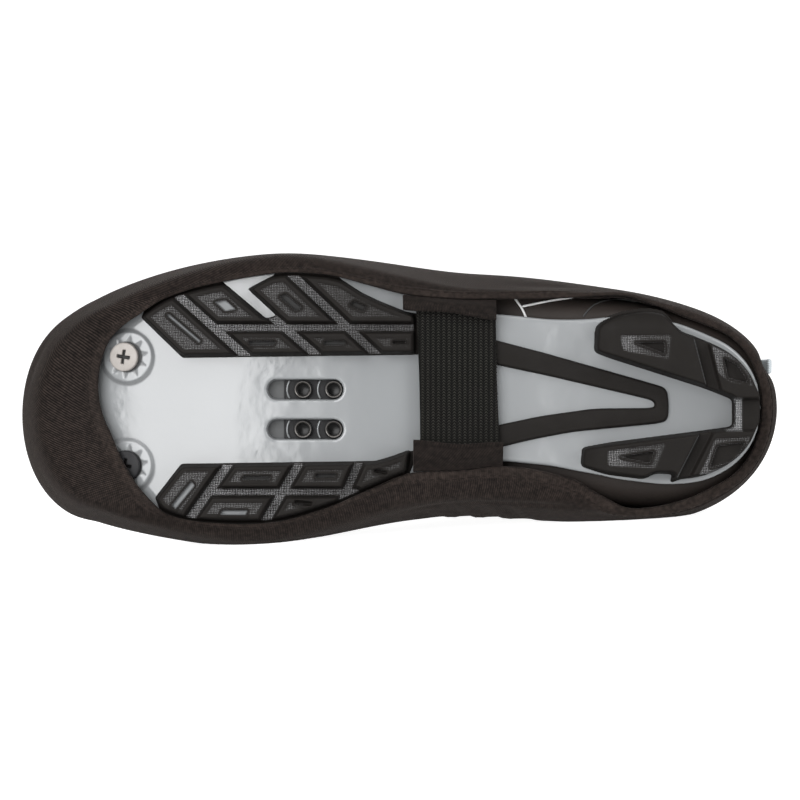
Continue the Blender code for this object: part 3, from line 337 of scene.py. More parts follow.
def size(name):
    """A size from the panel in millimetres."""
    return getattr(bpy.context.scene.overshoe_sizes, name) / MM


def colour(name, share=1.0):
    """A colour from the panel, made darker by a share."""
    return tuple(channel * share for channel in getattr(bpy.context.scene.overshoe_colours, name)) + (1.0,)


# Curves and distances


def smooth_curve(stations, values):
    """A monotone cubic through the points: no overshoot between rows, and flat past the ends."""
    x, y = np.asarray(stations, float), np.asarray(values, float)
    step = np.diff(x)
    slope = np.diff(y) / step
    tangent = np.empty_like(y)
    tangent[0], tangent[-1] = slope[0], slope[-1]
    before, after = 2 * step[1:] + step[:-1], step[1:] + 2 * step[:-1]
    same_way = slope[:-1] * slope[1:] > 0
    safe_before = np.where(same_way, slope[:-1], 1.0)
    safe_after = np.where(same_way, slope[1:], 1.0)
    mean = (before + after) / (before / safe_before + after / safe_after)
    tangent[1:-1] = np.where(same_way, mean, 0.0)

    def at(station):
        q = np.clip(station, x[0], x[-1])
        i = np.clip(np.searchsorted(x, q, side="right") - 1, 0, len(step) - 1)
        t = (q - x[i]) / step[i]
        rise = (3 - 2 * t) * t * t
        lead = t * (1 - t) ** 2 * tangent[i] - t * t * (1 - t) * tangent[i + 1]
        return y[i] + (y[i + 1] - y[i]) * rise + lead * step[i]

    return at


def ramp(value, low, high):
    """0 below low, 1 above high and an S curve between: three t squared less two t cubed."""
    t = np.clip((value - low) / (high - low), 0, 1)
    return t * t * (3 - 2 * t)


def bell(value, width):
    """1 at zero and falling to both sides: e to the minus square of the value over a width."""
    return np.exp(-((value / width) ** 2))


def unit(vectors):
    """Vectors scaled to a length of one."""
    return vectors / np.maximum(np.linalg.norm(vectors, axis=-1, keepdims=True), 1e-9)


def run_lengths(points, axis=0):
    """Distance of each point from the first one on an axis of a grid, along it."""
    steps = np.linalg.norm(np.diff(points, axis=axis), axis=-1)
    first = np.zeros_like(np.take(steps, [0], axis))
    return np.concatenate([first, np.cumsum(steps, axis=axis)], axis=axis)


def turn_angles(count):
    """Even angles once round, from zero."""
    return np.linspace(0, 2 * math.pi, count, endpoint=False)


def end_round(share, power=8):
    """Factor that rounds a plan off to nothing at both ends of its length."""
    return np.sqrt(np.maximum(0.0, 1 - np.abs(2 * share - 1) ** power))


def ring_round(share, square):
    """The same factor for a ring of the cover, with its heel kept rounder than its toe."""
    return end_round(share, np.where(share < 0.5, min(square, HEEL_SQUARE), square))


def plan_curves(plan, back, front):
    """Centre and rounded half width of a plan table, as functions of the station."""
    share = (plan["station"] - back) / (front - back)
    centre = smooth_curve(plan["station"], plan["centre"])
    full_half = smooth_curve(plan["station"], plan["half"] / end_round(share))

    def half(station):
        return full_half(station) * end_round((station - back) / (front - back))

    return centre, half


plate_height = smooth_curve(PLATE["station"], PLATE["height"])
foot_curve = smooth_curve(FOOT_CURVE["station"], FOOT_CURVE["centre"])
shoe_room = smooth_curve(SHOE_ROOM["share"], SHOE_ROOM["room"])
sole_centre, sole_half = plan_curves(SOLE, SOLE_BACK, SOLE_FRONT)
hem_centre, hem_half = plan_curves(HEM, HEM_BACK, HEM_FRONT)
hem_drop = smooth_curve(HEM["station"], HEM["drop"])


def plate_top(station):
    """Height of the plate's upper face, whose thickness is square to the slope."""
    slope = plate_height(station + 0.5) - plate_height(station - 0.5)
    return plate_height(station) + PLATE_THICKNESS * np.sqrt(1 + slope * slope)


def strap_height(station):
    return plate_height(station) - STRAP_CLEAR


def inside_distance(x, y, outline):
    """Distance to the nearest edge of an outline in plan, negative outside, where a ray crosses it evenly."""
    start = np.asarray(outline, float)
    along = np.roll(start, -1, axis=0) - start
    away_x, away_y = x[..., None] - start[:, 0], y[..., None] - start[:, 1]
    t = np.clip((away_x * along[:, 0] + away_y * along[:, 1]) / (along ** 2).sum(axis=1), 0, 1)
    near = np.hypot(away_x - t * along[:, 0], away_y - t * along[:, 1]).min(axis=-1)
    rising = np.where(along[:, 1] == 0, 1e-9, along[:, 1])
    crossed = (away_y < 0) != (away_y < along[:, 1])
    inside = (crossed & (away_x < away_y * along[:, 0] / rising)).sum(axis=-1) % 2 == 1
    return np.where(inside, near, -near)


def rounded(outline, radius, steps=5):
    """An outline with its corners rounded: a parabola from a radius before each corner to one after it."""
    corner = np.asarray(outline, float)
    before, after = np.roll(corner, 1, axis=0) - corner, np.roll(corner, -1, axis=0) - corner
    back, on = np.linalg.norm(before, axis=1), np.linalg.norm(after, axis=1)
    start = corner + before * (np.minimum(radius, 0.45 * back) / back)[:, None]
    end = corner + after * (np.minimum(radius, 0.45 * on) / on)[:, None]
    t = np.linspace(0, 1, steps)[None, :, None]
    curve = (1 - t) ** 2 * start[:, None] + 2 * t * (1 - t) * corner[:, None] + t * t * end[:, None]
    return curve.reshape(-1, 2)


def strip_distance(x, y, x0, y0, x1, y1, width):
    """Distance out of a straight strip in plan, negative within it: that of a turned box."""
    length = math.hypot(x1 - x0, y1 - y0)
    ux, uy = (x1 - x0) / length, (y1 - y0) / length
    over = np.abs((x - x0) * ux + (y - y0) * uy - length / 2) - length / 2
    side = np.abs((y - y0) * ux - (x - x0) * uy) - width / 2
    return np.hypot(np.maximum(over, 0), np.maximum(side, 0)) + np.minimum(np.maximum(over, side), 0)


def lie_matrix():
    """Rotation that lays the shoe on its medial side, so that the floor plane is level."""
    on_side = Matrix.Rotation(math.pi, 3, "Z") @ Matrix.Rotation(math.pi / 2, 3, "X")
    return np.array(Matrix.Rotation(-LIE_TILT, 3, "X") @ Matrix.Rotation(LIE_YAW, 3, "Y") @ on_side)


LIE = lie_matrix()
# A direction that no cord runs along, to turn the circles of cords from
CORD_REFERENCE = LIE.T @ np.array([0.3, 0.2, 0.93])


def laid(points):
    """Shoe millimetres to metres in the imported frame."""
    return (points @ LIE.T + LIE_PLACE) * MM


def press_on_floor(points, above=0.0):
    """Moves what would be below a height over the floor up to it, along the floor's normal."""
    below = np.minimum(0.0, points @ LIE[2] + LIE_PLACE[2] - above)
    return points - below[..., None] * LIE[2]


# Rings of the cover and of the shoe


def turn_shares(count):
    """Shares of a ring's length once round, closer at heel and toe, and the side of each point."""
    turn = turn_angles(count)
    return (1 - np.cos(turn)) / 2, np.where(turn <= math.pi, 1.0, -1.0)


def ring_points(x, y, z):
    return np.stack(np.broadcast_arrays(x, y, z), axis=-1)


def cover_ring(step, share, side):
    """One ring of the cover: its half width is a curve along its length, rounded off at heel and toe."""
    rows = np.arange(len(RINGS["height"]))
    at = {name: float(smooth_curve(rows, column)(step)) for name, column in RINGS.items()}
    x = at["back"] + (at["front"] - at["back"]) * share
    widths = np.array([at[name] for name in ("heel", "waist", "ball", "toe")])
    full = smooth_curve(WIDTH_SHARES, widths / ring_round(np.array(WIDTH_SHARES), at["square"]))
    centre = foot_curve(x) * at["curve"] + SHAFT_CENTRE * (1 - at["curve"])
    toe_lift = np.clip((x - TOE_BREAK) / (LENGTH - TOE_BREAK), 0, 1) ** 2
    half = full(share) * ring_round(share, at["square"])
    return ring_points(x, centre + side * half, at["height"] + at["rise"] * toe_lift)


def hem_ring(share, side):
    """The edge of the opening under the foot."""
    x = HEM_BACK + (HEM_FRONT - HEM_BACK) * share
    return ring_points(x, hem_centre(x) + side * hem_half(x), plate_height(x) + hem_drop(x))


def ring_normals(rows):
    """Outward unit normals of a stack of closed rings."""
    around = np.roll(rows, -1, axis=1) - np.roll(rows, 1, axis=1)
    return unit(np.cross(np.gradient(rows, axis=0), around))


def sheet_normals(lines):
    """Unit normals of an open grid of points."""
    return unit(np.cross(np.gradient(lines, axis=1), np.gradient(lines, axis=0)))


def crease_depth(points):
    """Sum of the creases: a bell across the line between its ends, which fades towards both ends."""
    depth = np.zeros(points.shape[:-1])
    for *ends, width, deep in CREASES:
        start, end = np.array(ends[:3]), np.array(ends[3:])
        along = end - start
        t = np.clip((points - start) @ along / (along @ along), 0, 1)
        away = np.linalg.norm(points - start - t[..., None] * along, axis=-1)
        depth += deep * np.sin(math.pi * np.clip(0.08 + 0.84 * t, 0, 1)) * bell(away, width)
    return depth


def shell(outer, normals, wall):
    """A closed wall: the outer rings, a rolled edge, inner rings at the wall's depth and a rolled edge."""
    inner = (outer - normals * wall)[::-1]
    keep = np.unique(np.r_[0:len(inner):INNER_EVERY, len(inner) - 1])
    rolls = []
    for row, onward in ((-1, -2), (0, 1)):
        out = normals[row] * wall / 2
        away = unit(outer[row] - outer[onward]) * wall * ROLL_SHARE
        roll = [outer[row] - out + out * math.cos(a) + away * math.sin(a) for a in ROLL_ANGLES]
        rolls.append(np.array(roll))
    return np.concatenate([outer, rolls[0], inner[keep], rolls[1][::-1]])


# Meshes


def patch(points, wrap=(False, False), flip=False, keep=None, uv=None, marks=None):
    """A grid of points as faces: wrap joins the last row or column to the first, keep drops cells."""
    return {"points": points, "wrap": wrap, "flip": flip, "keep": keep, "uv": uv, "marks": marks or {}}


def patch_faces(item):
    """Corner numbers of a patch's quads, the point of each corner, and a place on the pattern for each."""
    rows, cols = item["points"].shape[:2]
    more_rows, more_cols = item["wrap"]
    row, col = np.meshgrid(np.arange(rows + more_rows), np.arange(cols + more_cols), indexing="ij")
    point = ((row % rows) * cols + col % cols).ravel()
    corner = np.arange(point.size).reshape(row.shape)
    quads = np.stack([corner[:-1, :-1], corner[:-1, 1:], corner[1:, 1:], corner[1:, :-1]], axis=-1)
    quads = quads.reshape(-1, 4)
    if item["flip"]:
        quads = quads[:, ::-1]
    if item["keep"] is not None:
        quads = quads[item["keep"].ravel()]
    if item["uv"] is None:
        uv = item["points"].reshape(-1, 3)[point, :2] * UV_SCALE
    else:
        uv = item["uv"].reshape(-1, 2) * UV_SCALE
    return quads, point, uv


def build(name, patches, material, weld=False):
    """One mesh object from patches in shoe millimetres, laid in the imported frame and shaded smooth."""
    points, corners, uvs, marks = [], [], [], {}
    names = sorted({mark for item in patches for mark in item["marks"]})
    total = 0
    for item in patches:
        quads, point, uv = patch_faces(item)
        flat = item["points"].reshape(-1, 3)
        used, corner = np.unique(point[quads.ravel()], return_inverse=True)
        points.append(flat[used])
        corners.append(corner.reshape(-1) + total)
        uvs.append(uv[quads.ravel()])
        for mark in names:
            values = item["marks"].get(mark, np.zeros(item["points"].shape[:2]))
            marks.setdefault(mark, []).append(values.reshape(-1)[used])
        total += len(used)
    points, corners, uvs = np.concatenate(points), np.concatenate(corners), np.concatenate(uvs)
    mesh = bpy.data.meshes.new(name)
    mesh.vertices.add(len(points))
    mesh.vertices.foreach_set("co", laid(points).astype(np.float32).ravel())
    mesh.loops.add(len(corners))
    mesh.loops.foreach_set("vertex_index", corners.astype(np.int32))
    mesh.polygons.add(len(corners) // 4)
    mesh.polygons.foreach_set("loop_start", np.arange(0, len(corners), 4, dtype=np.int32))
    mesh.update(calc_edges=True)
    mesh.uv_layers.new(name="pattern").data.foreach_set("uv", uvs.astype(np.float32).ravel())
    for mark in names:
        layer = mesh.attributes.new(mark, "FLOAT", "POINT")
        layer.data.foreach_set("value", np.concatenate(marks[mark]).astype(np.float32))
    if weld:
        work = bmesh.new()
        work.from_mesh(mesh)
        bmesh.ops.remove_doubles(work, verts=work.verts, dist=WELD_DISTANCE)
        work.to_mesh(mesh)
        work.free()
    mesh.validate()
    mesh.shade_smooth()
    mesh.materials.append(material)
    obj = bpy.data.objects.new(name, mesh)
    bpy.context.scene.collection.objects.link(obj)
    return obj


def piece(name, patches, look, slot, *nodes, weld=False, back=0.0):
    """A mesh on the shoe's body with its finish and the nodes that it stands for, and with a back
    of a thickness where it is a moulded skin. Its slot is not used."""
    obj = build(name, patches, finish(look), weld)
    if back:
        wall = obj.modifiers.new("back", "SOLIDIFY")
        wall.thickness = back * MM
        wall.offset = -1
    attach(obj, BODY)
    if nodes:
        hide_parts(*nodes)


def tube(path, radius, sides=8):
    """A round cord along a path: circles square to it, drawn in to a point at both ends."""
    along = unit(np.gradient(path, axis=0))
    across = unit(np.cross(along, CORD_REFERENCE))
    up = np.cross(along, across)
    thick = np.broadcast_to(radius, len(path)).astype(float).copy()
    thick[[0, -1]] *= CORD_TIP
    angle = turn_angles(sides)[:, None, None]
    ring = path + thick[:, None] * (np.cos(angle) * across + np.sin(angle) * up)
    return patch(ring.transpose(1, 0, 2), wrap=(False, True), flip=True)


def lathe(profile, count, origin):
    """A profile of radius and height turned about an axis that points down out of the sole."""
    radius, height = np.array(profile, float).T[..., None]
    angle = turn_angles(count)
    return origin + ring_points(radius * np.cos(angle), radius * np.sin(angle), -height)


# Shader groups and finishes


def feed(tree, node, inputs):
    """Gives a node its inputs, as values or as links."""
    for key, value in inputs.items():
        if isinstance(value, bpy.types.NodeSocket):
            tree.links.new(value, node.inputs[key])
        else:
            node.inputs[key].default_value = value
    return node


def add(tree, kind, inputs=None, **settings):
    """A new node with its settings and inputs."""
    node = tree.nodes.new(kind)
    for name, value in settings.items():
        setattr(node, name, value)
    return feed(tree, node, inputs or {})


def calc(tree, operation, *values):
    """Output of a Math node."""
    return add(tree, "ShaderNodeMath", dict(enumerate(values)), operation=operation).outputs[0]


def blend(tree, share, first, second):
    """Colour between two colours."""
    return add(tree, "ShaderNodeMix", {0: share, 6: first, 7: second}, data_type="RGBA").outputs[2]


def toned(tree, tone, name, dark, share=1.0):
    """A colour from the panel, blended by a tone with a darker share of itself."""
    return blend(tree, tone, colour(name, dark * share), colour(name, share))


def object_place(tree):
    """Place in object space."""
    return add(tree, "ShaderNodeTexCoord").outputs["Object"]


def noise(tree, scale, detail):
    """Noise in object space."""
    inputs = {"Vector": object_place(tree), "Scale": scale, "Detail": detail}
    return add(tree, "ShaderNodeTexNoise", inputs).outputs["Fac"]


def new_group(name, output, **defaults):
    """An empty shader group with one output and named inputs, vectors where they have no default."""
    group = bpy.data.node_groups.new(name, "ShaderNodeTree")
    for label, default in defaults.items():
        kind = "NodeSocketVector" if default is None else "NodeSocketFloat"
        socket = group.interface.new_socket(label, in_out="INPUT", socket_type=kind)
        if default is not None:
            socket.default_value = default
    group.interface.new_socket(output, in_out="OUTPUT", socket_type="NodeSocketFloat")
    given = group.nodes.new("NodeGroupInput").outputs
    return group, given, group.nodes.new("NodeGroupOutput")


def diagonal_waves(group, vector, pitch, first, second):
    """Sines of u plus v and of u less v, each with its share of a turn in a pitch."""
    split = add(group, "ShaderNodeSeparateXYZ", {0: vector}).outputs
    turn = calc(group, "DIVIDE", 2 * math.pi, pitch)
    waves = []
    for way, share in (("ADD", first), ("SUBTRACT", second)):
        place = calc(group, way, split[0], split[1])
        angle = calc(group, "MULTIPLY", place, calc(group, "MULTIPLY", turn, share))
        waves.append(calc(group, "SINE", angle))
    return waves


@functools.cache
def twill_group():
    """Diagonal ribs: a sine of u plus v, broken into threads by a quicker sine of u less v."""
    group, given, out = new_group("twill", "Height", Vector=None, Pitch=0.008)
    rib, thread = diagonal_waves(group, given["Vector"], given["Pitch"], 0.7071, 0.9)
    height = calc(group, "MULTIPLY_ADD", thread, 0.16, calc(group, "MULTIPLY_ADD", rib, 0.34, 0.5))
    feed(group, out, {"Height": height})
    return group


@functools.cache
def knit_group():
    """Knitted ribs: a rounded rib across u, with stitches along v that slant to the rib's middle."""
    group, given, out = new_group("knit", "Height", Vector=None, Pitch=0.0115)
    split = add(group, "ShaderNodeSeparateXYZ", {0: given["Vector"]}).outputs
    u, v = (calc(group, "DIVIDE", split[k], given["Pitch"]) for k in range(2))
    middle = calc(group, "ABSOLUTE", calc(group, "SUBTRACT", calc(group, "FRACT", u), 0.5))
    rib = calc(group, "COSINE", calc(group, "MULTIPLY", middle, math.pi))
    slant = calc(group, "ADD", middle, v)
    stitch = calc(group, "SINE", calc(group, "MULTIPLY", slant, 2 * math.pi * 1.86))
    rib = calc(group, "MULTIPLY_ADD", rib, 0.6, 0.4)
    stitch = calc(group, "MULTIPLY_ADD", stitch, 0.42, 0.58)
    feed(group, out, {"Height": calc(group, "MULTIPLY", rib, stitch)})
    return group


@functools.cache
def bead_group():
    """Rows of beads: the product of a sine along each diagonal, cut off below and with uneven tips."""
    group, given, out = new_group("beads", "Height", Vector=None, Pitch=0.0058)
    stray = add(group, "ShaderNodeTexNoise", {"Vector": given["Vector"], "Scale": 90.0, "Detail": 1.0})
    inputs = {0: stray.outputs["Color"], 1: (0.006, 0.006, 0.0), 2: given["Vector"]}
    shift = add(group, "ShaderNodeVectorMath", inputs, operation="MULTIPLY_ADD")
    one, two = diagonal_waves(group, shift.outputs[0], given["Pitch"], 0.7071, 0.7071)
    bead = calc(group, "MULTIPLY_ADD", calc(group, "MULTIPLY", one, two), 1.7, 0.05)
    bead = calc(group, "MINIMUM", calc(group, "MAXIMUM", bead, 0.0), 1.0)
    uneven = add(group, "ShaderNodeTexNoise", {"Vector": given["Vector"], "Scale": 70.0, "Detail": 2.0})
    tips = calc(group, "MULTIPLY_ADD", uneven.outputs["Fac"], 1.5, 0.1)
    feed(group, out, {"Height": calc(group, "MULTIPLY", bead, tips)})
    return group


@functools.cache
def mottle_group():
    """Cloudy change over a surface: noise in object space, spread about a middle value."""
    group, given, out = new_group("mottle", "Value", Scale=60.0, Middle=0.5, Spread=0.3)
    centred = calc(group, "SUBTRACT", noise(group, given["Scale"], 4.0), 0.5)
    feed(group, out, {"Value": calc(group, "MULTIPLY_ADD", centred, given["Spread"], given["Middle"])})
    return group


def group_node(tree, make, **inputs):
    """Output of a node of a shared group."""
    return add(tree, "ShaderNodeGroup", inputs, node_tree=make()).outputs[0]


def mottle(tree, scale, middle, spread):
    return group_node(tree, mottle_group, Scale=scale, Middle=middle, Spread=spread)


def relief_pattern(tree, make, pitch_mm):
    """Output of a pattern group in the place on the pattern, with a pitch in millimetres."""
    place = add(tree, "ShaderNodeUVMap", uv_map="pattern").outputs[0]
    return group_node(tree, make, Vector=place, Pitch=pitch_mm * UV_SCALE)


def mark(tree, name):
    return add(tree, "ShaderNodeAttribute", attribute_name=name).outputs["Fac"]


def bump(tree, height, depth, strength):
    """Normal of a relief of a depth in millimetres."""
    inputs = {"Height": height, "Distance": depth * MM, "Strength": strength}
    return add(tree, "ShaderNodeBump", inputs).outputs[0]


def new_finish(name):
    """A material with its tree and its Principled shader."""
    made = bpy.data.materials.new(name)
    made.use_nodes = True
    return made, made.node_tree, made.node_tree.nodes["Principled BSDF"]


def fabric_finish():
    """Stretch fabric: diagonal ribs, cloudy tone and a soft nap, plainer on the hem and the tabs."""
    made, tree, shader = new_finish("softshell_knit")
    ribs = relief_pattern(tree, twill_group, size("weave_pitch"))
    bound = mark(tree, "bound")
    plain = calc(tree, "MULTIPLY_ADD", calc(tree, "ABSOLUTE", bound), -0.6, 1.0)
    ribs = calc(tree, "MULTIPLY_ADD", calc(tree, "SUBTRACT", ribs, 0.5), plain, 0.5)
    tone = calc(tree, "MULTIPLY", mottle(tree, 45.0, 1.0, 0.5), calc(tree, "MULTIPLY_ADD", bound, 0.35, 1.0))
    tone = calc(tree, "MULTIPLY", tone, calc(tree, "MULTIPLY_ADD", ribs, 2.8, -0.45))
    tone = calc(tree, "MAXIMUM", calc(tree, "MULTIPLY", tone, mottle(tree, 700.0, 1.0, 2.6)), 0.0)
    base = toned(tree, tone, "fabric", 0.05)
    base.node.clamp_factor = False
    feed(tree, shader, {
        "Base Color": base, "Roughness": mottle(tree, 70.0, 0.82, 0.2), "Specular IOR Level": 0.1,
        "Sheen Weight": 0.05, "Sheen Roughness": 0.45, "Sheen Tint": (1.0, 0.88, 0.82, 1.0),
        "Normal": bump(tree, ribs, 0.16, 0.7)})
    return made


def upper_finish():
    """Synthetic leather: fine grain and a satin face."""
    made, tree, shader = new_finish("upper_synthetic")
    inputs = {"Vector": object_place(tree), "Scale": 900.0}
    grain = add(tree, "ShaderNodeTexVoronoi", inputs, feature="SMOOTH_F1").outputs["Distance"]
    feed(tree, shader, {
        "Base Color": toned(tree, mottle(tree, 60.0, 0.85, 0.5), "upper", 0.5),
        "Roughness": mottle(tree, 90.0, 0.6, 0.2), "Specular IOR Level": 0.2,
        "Normal": bump(tree, grain, 0.12, 0.5)})
    return made


def rubber_finish():
    """Moulded rubber: matt frames, beaded bands and floors with a painted highlight on the bead tips, and a
    painted reflection of the plate on a few slot floors and along the heel's groove edges.
    """
    made, tree, shader = new_finish("tread_rubber")
    # Painted highlight: the beads mark blends the rubber to the light bead colour, the glint of light on the
    # bead tips
    beads = calc(tree, "MULTIPLY", relief_pattern(tree, bead_group, size("bead_pitch")), mark(tree, "beads"))
    plain = toned(tree, mottle(tree, 120.0, 0.8, 0.7), "rubber", 0.6)
    tipped = blend(tree, beads, plain, colour("bead"))
    # Painted reflection: the mark blends the rubber towards the plate's silver and lowers its roughness, on
    # slot floors and groove edges
    shine = mark(tree, "shine")
    relief = calc(tree, "MULTIPLY_ADD", noise(tree, 2600.0, 3.0), 0.16, beads)
    feed(tree, shader, {
        "Base Color": blend(tree, shine, tipped, colour("plate")),
        "Roughness": calc(tree, "MULTIPLY_ADD", shine, -0.3, mottle(tree, 150.0, 0.72, 0.2)),
        "Specular IOR Level": 0.2, "Normal": bump(tree, relief, 0.22, 0.8)})
    return made


def plate_finish():
    """Silver nylon: flow marks, a slightly rippled gloss and fine scuffs, and painted shade in slots, notches
    and round the screw heads.
    """
    made, tree, shader = new_finish("plate_nylon")
    base = toned(tree, mottle(tree, 40.0, 0.75, 0.5), "plate", 0.9)
    # Painted shade: the shade mark blends the nylon to a dark grey and makes it rougher
    shade = mark(tree, "shade")
    relief = calc(tree, "MULTIPLY_ADD", noise(tree, 1500.0, 2.0), 0.03, noise(tree, 130.0, 2.5))
    feed(tree, shader, {
        "Base Color": blend(tree, shade, base, colour("plate", 0.12)),
        "Roughness": calc(tree, "MULTIPLY_ADD", shade, 0.6, mottle(tree, 55.0, 0.11, 0.1)),
        "Specular IOR Level": 0.6, "Normal": bump(tree, relief, 0.2, 0.5)})
    return made


def webbing_finish():
    """Elastic webbing: knitted ribs with a dull thread."""
    made, tree, shader = new_finish("strap_webbing")
    ribs = relief_pattern(tree, knit_group, size("knit_pitch"))
    tone = calc(tree, "MULTIPLY", calc(tree, "POWER", ribs, 3.2), mottle(tree, 80.0, 1.0, 0.6))
    feed(tree, shader, {
        "Base Color": toned(tree, tone, "webbing", 0.06), "Roughness": mottle(tree, 90.0, 0.75, 0.2),
        "Specular IOR Level": 0.08, "Sheen Weight": 0.03, "Sheen Roughness": 0.4,
        "Normal": bump(tree, ribs, 0.22, 0.8)})
    return made


def tape_finish():
    """Reflective tape: a fine weave under a grey gloss."""
    made, tree, shader = new_finish("loop_tape")
    ribs = relief_pattern(tree, twill_group, 0.6)
    tone = calc(tree, "MULTIPLY", ribs, mottle(tree, 150.0, 1.2, 0.5))
    feed(tree, shader, {
        "Base Color": toned(tree, tone, "tape", 0.6), "Roughness": mottle(tree, 120.0, 0.42, 0.2),
        "Normal": bump(tree, ribs, 0.08, 0.6)})
    return made


def lining_finish():
    """Brushed fabric of the insole: short nap with a cloudy tone."""
    made, tree, shader = new_finish("insole_nap")
    nap = noise(tree, 1500.0, 4.0)
    tone = calc(tree, "MULTIPLY", nap, mottle(tree, 60.0, 1.6, 0.6))
    feed(tree, shader, {
        "Base Color": toned(tree, tone, "lining", 0.5), "Roughness": mottle(tree, 80.0, 0.9, 0.1),
        "Normal": bump(tree, nap, 0.2, 0.7)})
    return made


def thread_finish(name, shade, share, rough):
    """Sewing thread or piping: a twist along the strand and a cloudy tone."""
    made, tree, shader = new_finish(name)
    twist = noise(tree, 1800.0, 2.0)
    tone = calc(tree, "MULTIPLY", twist, mottle(tree, 200.0, 1.6, 0.6))
    feed(tree, shader, {
        "Base Color": toned(tree, tone, shade, 0.6, share), "Roughness": mottle(tree, 200.0, rough, 0.2),
        "Specular IOR Level": 0.15, "Normal": bump(tree, twist, 0.08, 0.5)})
    return made


def metal_finish(name, shade, share, metallic, rough, gloss):
    """Plated or blackened steel: fine brushing, cloudy gloss and painted shade in its hollows."""
    made, tree, shader = new_finish(name)
    metal = toned(tree, mottle(tree, 300.0, 0.8, 0.6), shade, 0.65, share)
    # Painted shade: the shade mark blends the steel to near black in the screw's cross and on the collars
    feed(tree, shader, {
        "Base Color": blend(tree, mark(tree, "shade"), metal, (0.004, 0.004, 0.004, 1)),
        "Roughness": mottle(tree, 400.0, rough, 0.25), "Metallic": metallic, "Specular IOR Level": gloss,
        "Normal": bump(tree, noise(tree, 1200.0, 3.0), 0.03, 0.4)})
    return made


# Finishes by name: the maker, and for steel and thread the material's name, colour, its share, and surface
FINISHES = {
    "softshell": (fabric_finish,),
    "synthetic": (upper_finish,),
    "rubber": (rubber_finish,),
    "nylon": (plate_finish,),
    "webbing": (webbing_finish,),
    "reflective": (tape_finish,),
    "foam": (lining_finish,),
    "steel": (metal_finish, "screw_steel", "steel", 1.0, 0.12, 0.5, 0.4),
    "black_steel": (metal_finish, "black_steel_oiled", "black_steel", 1.0, 0.2, 0.45, 0.12),
    "collar_steel": (metal_finish, "collar_steel_oiled", "steel", 0.42, 0.5, 0.34, 0.4),
    # Flange arcs: the plate's silver as a painted highlight on the flanges' rims
    "flange_steel": (metal_finish, "flange_steel_bright", "plate", 1.0, 0.5, 0.3, 0.5),
    "seam": (thread_finish, "upper_seam", "piping", 0.07, 0.5),
    "thread": (thread_finish, "hem_thread", "fabric", 0.9, 0.9),
    "piping": (thread_finish, "upper_piping", "piping", 1.0, 0.5),
}


@functools.cache
def finish(name):
    """A finish by name, which is made the first time that it is used."""
    make, *values = FINISHES[name]
    return make(*values)


# Pieces


def outside_hem(ring, side, room):
    """A ring whose sides stay a little outside the hem: a smooth larger of the two half widths."""
    x, middle = ring[:, 0], foot_curve(ring[:, 0])
    half = side * (ring[:, 1] - middle)
    hem = side * (hem_centre(x) - middle) + hem_half(np.clip(x, HEM_BACK, HEM_FRONT)) + room
    hem = np.where((x > OUT_START) & (x < OUT_END), hem, 0.0)
    wider = (half + hem + np.sqrt((half - hem) ** 2 + OUT_SOFT)) / 2
    fade = ramp(x, OUT_START, OUT_FULL) * (1 - ramp(x, OUT_FADE, OUT_END)) * (room > 0)
    out = ring.copy()
    out[:, 1] = middle + side * (half + (wider - half) * fade)
    return out


def cover_surface():
    """Outer rings of the cover: the turn under the sole is a quarter of a superellipse from hem to side,
    then rings rise to the collar; both bindings stand out and the creases sink along the normals."""
    share, side = turn_shares(bpy.context.scene.overshoe_sizes.around)
    hem = hem_ring(share, side)
    flank = outside_hem(cover_ring(0, share, side), side, HEM_COVER)
    flank[:, 2] = np.maximum(flank[:, 2], hem[:, 2] + SIDE_OVER_HEM)
    angle = np.linspace(0, FOLD_END, FOLD_ROWS) ** (1 / FOLD_POWER) * math.pi / 2
    out, up = np.sin(angle) ** FOLD_POWER, 1 - np.cos(angle) ** FOLD_POWER
    fold = hem + (flank - hem) * np.stack([out, out, up], axis=1)[:, None, :]
    margin = np.interp(COVER_STEPS, (0, 1.5), (HEM_COVER, 0.0))
    pairs = zip(COVER_STEPS, margin)
    rings = [outside_hem(cover_ring(step, share, side), side, room) for step, room in pairs]
    rows = np.concatenate([fold, flank[None], np.array(rings)])
    count = len(rows)
    near_turn = bell(np.arange(count) - FOLD_ROWS, SMOOTH_ROWS)[:, None, None]
    for _ in range(SMOOTH_PASSES):
        rows[1:-1] += near_turn[1:-1] * 0.5 * ((rows[:-2] + rows[2:]) / 2 - rows[1:-1])
    normals = ring_normals(rows)
    length = run_lengths(rows)
    width, step = size("binding_width"), size("binding_step")
    bound = 1 - ramp(length, width - GROOVE_WIDTH, width + GROOVE_WIDTH)
    groove = bell(length - width + STITCH_INSET, GROOVE_WIDTH)
    cuff_start = count - CUFF_ROWS
    cuff = ramp(np.linspace(0, 1, count) * count, cuff_start, cuff_start + CUFF_SOFT_ROWS)[:, None]
    relief = step * bound - GROOVE_DEPTH * groove * bound + step * cuff
    rows = press_on_floor(rows + normals * (relief - crease_depth(rows))[..., None])
    return rows, ring_normals(rows), length, np.maximum(bound, cuff)


def cover_pattern(rows):
    """Place on the fabric: the way round from the toe, which meets at the back seam, and the way up."""
    closed = np.concatenate([rows, rows[:, :1]], axis=1)
    round_way = run_lengths(closed, axis=1)
    round_way -= round_way[:, rows.shape[1] // 2][:, None]
    return np.stack([round_way, run_lengths(closed)], axis=2)


